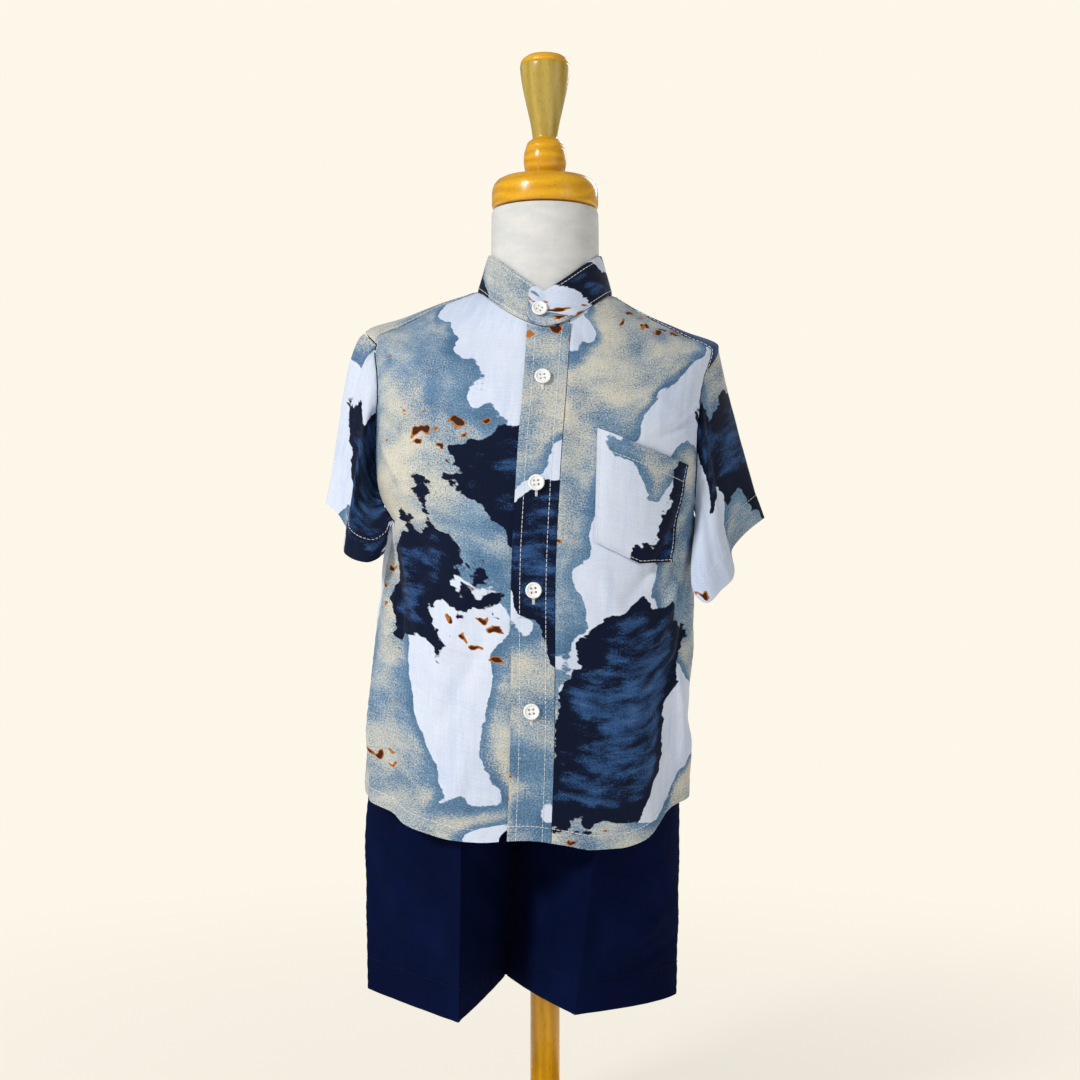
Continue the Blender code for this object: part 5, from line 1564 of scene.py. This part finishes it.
def trouser_panel(face, side):
    side_count, inner_count = 50, 42
    given = zip(LEG_SEAMS[side], PANEL_CREASES[face, side], INNER_EDGES[face])
    legs = [Leg(seam.side_z, seam.side_x, *crease, seam.inner_x, *inner, seam.turn)
            for seam, crease, inner in given]
    heights = np.linspace(legs[0].side_z, WAIST.side_z, 120)
    rows = table(Leg, *zip(*(read(legs, "side_z", name, heights) for name in Leg._fields)))
    edges = [trouser_row(row, side_count, inner_count, LEG_FLATNESS[side]) for row in rows]
    points = np.stack(edges, axis=1)
    middle = ((legs[0].side_x + legs[0].inner_x) / 2, 0, 120)
    normals = facing(points, middle)
    run = runs(points)
    # both panels turn their walls the same way where they meet at the side and at the inside leg
    outward = np.array([math.copysign(1.0, legs[0].side_x - legs[0].inner_x), 0.0, 0.0])
    at_side, at_inner = (bump(run[edge], 5.0) for edge in ("u0", "u1"))
    at_inner = at_inner * (np.array([row.turn for row in rows]) < 0.1)
    for share, way in ((at_side[..., None], outward), (at_inner[..., None], -outward)):
        normals = normals * (1 - share) + way * share
    normals = unit(normals)
    seams = ("u0", "u1", "v1")
    relief = seam_relief(run, seams)
    relief += 0.5 * hem_relief(run["v0"], run["u0"], TROUSER_HEM_WIDTH)
    wide = rumple(run["u0"] + points[..., 0], run["v0"], 60.0)
    relief += 0.55 * wide + 0.2 * rumple(run["v0"], run["u0"], 24.0)
    crease = bump(np.arange(points.shape[0])[:, None] - side_count, 1.6)
    relief += crease * (0.7 if face == "front" else 0.3)
    for fold in TROUSER_FOLDS[face, side]:
        relief += fold.depth * drag_line(points[..., 0], points[..., 2], fold)
    outer = drawn_back(points + normals * relief[..., None], seams, TROUSER_SEAM_GAP)
    wall = TROUSER_WALL + hem_wall(run["v0"], TROUSER_HEM_WIDTH, TROUSER_HEM_WALL)
    piece = cloth(f"trouser_{face}_{side}", outer, outer - normals * wall[..., None], "navy_twill")
    return piece, stitched_lines(outer, normals, [("v0", TROUSER_HEM_WIDTH - HEM_STITCH_INSET)])


def trousers():
    panels = [trouser_panel(face, side) for side in SIDES for face in ("front", "back")]
    around, up = 181, 13
    angle = np.linspace(0, 360, around)[:, None]
    low = WAIST.side_z + SEAM_GAP / 2
    height = np.linspace(low, low + WAISTBAND_HEIGHT, up)[None]
    points = ring_point(WAIST, np.broadcast_to(angle, (around, up)))
    points[..., 2] = height
    normals = facing(points, (0, 0, low + WAISTBAND_HEIGHT / 2), tube=True)
    waves = 1 + np.sin(np.radians(angle) * WAISTBAND_GATHERS)
    gathers = -0.5 * waves * 0.5 * np.sin((height - low) / WAISTBAND_HEIGHT * math.pi)
    outer = points + normals * gathers[..., None]
    inner = outer - normals * (WAISTBAND_WALL - 0.6)
    band = cloth("trouser_waistband", outer, inner, "navy_twill", tube=True)
    return [*panels, (band, [])]


# The dress form and its stand
def dress_form():
    around, up = 128, 150
    angle = np.linspace(0, 360, around, endpoint=False)
    inset = -np.full(around, SHIRT_WALL + FORM_SHOULDER_GAP)
    rings = [ring_point(ring, angle) for ring in FORM_RINGS]
    rings += [body_outside(angle, np.full(around, level), inset) for level in FORM_SHOULDER_LEVELS]
    inset = COLLAR_WALL + FORM_COLLAR_GAP
    rings.append(collar_point(angle, 0.0, -inset) - np.array([0.0, 0.0, inset]))
    rings += [collar_point(angle, share, -inset) for share in FORM_COLLAR_SHARES]
    for neck in FORM_NECK:
        round_ring = Ring(neck.z, neck.radius, neck.radius, neck.z, neck.radius, neck.z, 0, 2, 1)
        rings.append(ring_point(round_ring, angle))
    rings = np.array(rings)
    steps = np.concatenate([[0], np.cumsum(np.linalg.norm(np.diff(rings, axis=0), axis=2).mean(axis=1))])
    fine = np.linspace(0, steps[-1], up)
    smooth = [[eased_through(fine, steps, rings[:, i, c]) for c in range(3)] for i in range(around)]
    smooth = np.array(smooth).transpose(0, 2, 1)
    closed = np.concatenate([smooth, smooth[:1]])

    def build(form):
        for vert, i, j in grid_of(form, *closed.shape[:2]):
            vert.co = lifted(closed[i, j])
        bmesh.ops.remove_doubles(form, verts=form.verts, dist=MERGE_DISTANCE)
        bmesh.ops.holes_fill(form, edges=[edge for edge in form.edges if edge.is_boundary])
        bmesh.ops.recalc_face_normals(form, faces=form.faces)

    shown(new_piece("dress_form", mesh_of("dress_form", build), COVER), "form_torso")


def turned_piece(name, node, rows, material, sides=96, low=HEM_HEIGHT):
    mesh = mesh_of(name, lambda form: turn_profile(form, rows, sides))
    mesh.transform(Matrix.Translation((0, 0, low * MM)))
    return shown(new_piece(name, mesh, material), node)


def turned_wood():
    turned_piece("neck_cap", "form_neck_cap", NECK_CAP, HONEY_WOOD)
    turned_piece("finial", "form_finial", FINIAL, FINIAL_WOOD)
    turned_piece("round_base", "stand_base", BASE, HONEY_WOOD, 128, 0.0)
    top = HEM_HEIGHT + FORM_RINGS[0].side_z - LAY_GAP
    chamfer = 0.5
    pole = table(
        Turned, (POLE_RADIUS - chamfer, POLE_FOOT), (POLE_RADIUS, POLE_FOOT + chamfer),
        (POLE_RADIUS, top - chamfer), (POLE_RADIUS - chamfer, top),
    )
    turned_piece("pole", "stand_pole", pole, POLE_WOOD, 64, 0.0)


# Floor, light and camera
BACKDROP = (0.985, 0.930, 0.820)
FLOOR_RADIUS = 14.0
# How far the floor already takes the backdrop's tone beside the base
FLOOR_GLOW = 0.72
FLOOR_COLOUR = (0.96, 0.92, 0.84, 1)
SKY_LIGHT = (0.27, 0.27, 0.27)
CAMERA_PLACE = (-0.00375, -1.25, 0.47)
CAMERA_SENSOR, CAMERA_LENS = 36.0, 55.56
Lamp = namedtuple("Lamp", "name place aim_z size power colour")
LAMPS = table(
    Lamp,
    ("key", (-1.7, -1.7, 1.75), 0.45, 0.6, 54.0, (1.0, 0.985, 0.96)),
    ("fill", (2.0, -1.8, 0.9), 0.45, 1.6, 7.5, (0.94, 0.97, 1.0)),
    ("back", (1.2, 2.0, 1.8), 0.5, 1.2, 16.0, (1.0, 0.99, 0.97)),
)


def studio():
    material, tree, shader = new_material("studio_paper", 0.95, Specular_IOR_Level=0.1)
    shader.inputs["Base Color"].default_value = FLOOR_COLOUR
    vector_length = add(tree, "ShaderNodeVectorMath", ((0, object_place(tree)),), operation="LENGTH")
    reach = vector_length.outputs["Value"]
    far = add(tree, "ShaderNodeEmission", (("Color", (*BACKDROP, 1)), ("Strength", 1.0)))
    share = times_plus(tree, step_between(tree, reach, 0.2, 1.2), 1 - FLOOR_GLOW, FLOOR_GLOW)
    blend = add(tree, "ShaderNodeMixShader", ((0, share), (1, shader.outputs[0]), (2, far.outputs[0])))
    tree.links.new(blend.outputs[0], tree.nodes["Material Output"].inputs["Surface"])
    disc = mesh_of("studio_floor", lambda form: bmesh.ops.create_circle(
        form, cap_ends=True, segments=96, radius=FLOOR_RADIUS,
    ))
    floor = new_piece("studio_floor", disc, material)

    scene = bpy.context.scene
    scene.view_settings.view_transform = "Standard"
    scene.world = bpy.data.worlds.new("studio")
    scene.world.use_nodes = True
    sky = scene.world.node_tree
    seen = add(sky, "ShaderNodeLightPath").outputs["Is Camera Ray"]
    feed(sky.nodes["Background"], "Color", mixed(sky, seen, SKY_LIGHT, BACKDROP))
    for lamp in LAMPS:
        light = bpy.data.lights.new(lamp.name, "AREA")
        light.shape, light.size = "DISK", lamp.size
        light.energy, light.color = lamp.power, lamp.colour
        holder = placed(lamp.name, light)
        holder.location = lamp.place
        aim = Vector((0, 0, lamp.aim_z)) - Vector(lamp.place)
        holder.rotation_euler = aim.to_track_quat("-Z", "Y").to_euler()

    camera = bpy.data.cameras.new("camera")
    camera.sensor_width, camera.lens = CAMERA_SENSOR, CAMERA_LENS
    scene.camera = placed("camera", camera)
    scene.camera.location = CAMERA_PLACE
    scene.camera.rotation_euler = (math.pi / 2, 0, 0)


def dress():
    """The clothes: the shirt's pieces with their stitching, buttons and buttonholes, and the trousers with
    their hem stitching.
    """
    shirt = [
        *shirt_fronts(), shirt_placket(), shirt_back(), shirt_yoke(),
        *(shirt_sleeve(side) for side in SIDES), shirt_collar(), shirt_pocket(),
    ]
    (front_left, front_right, placket, back, yoke, *sleeves, collar, pocket), lines = zip(*shirt)
    stitching = thread_shown("shirt_stitching", stitches(sum(lines, [])), THREAD_RADIUS)
    buttons, thread = shirt_buttons()
    holes = buttonholes()
    panels, hems = zip(*trousers())
    seams = thread_piece("trouser_stitching", stitches(sum(hems, [])), NAVY_THREAD_RADIUS, NAVY_THREAD)
    shown(seams, None)


dress_form()
turned_wood()
dress()
studio()
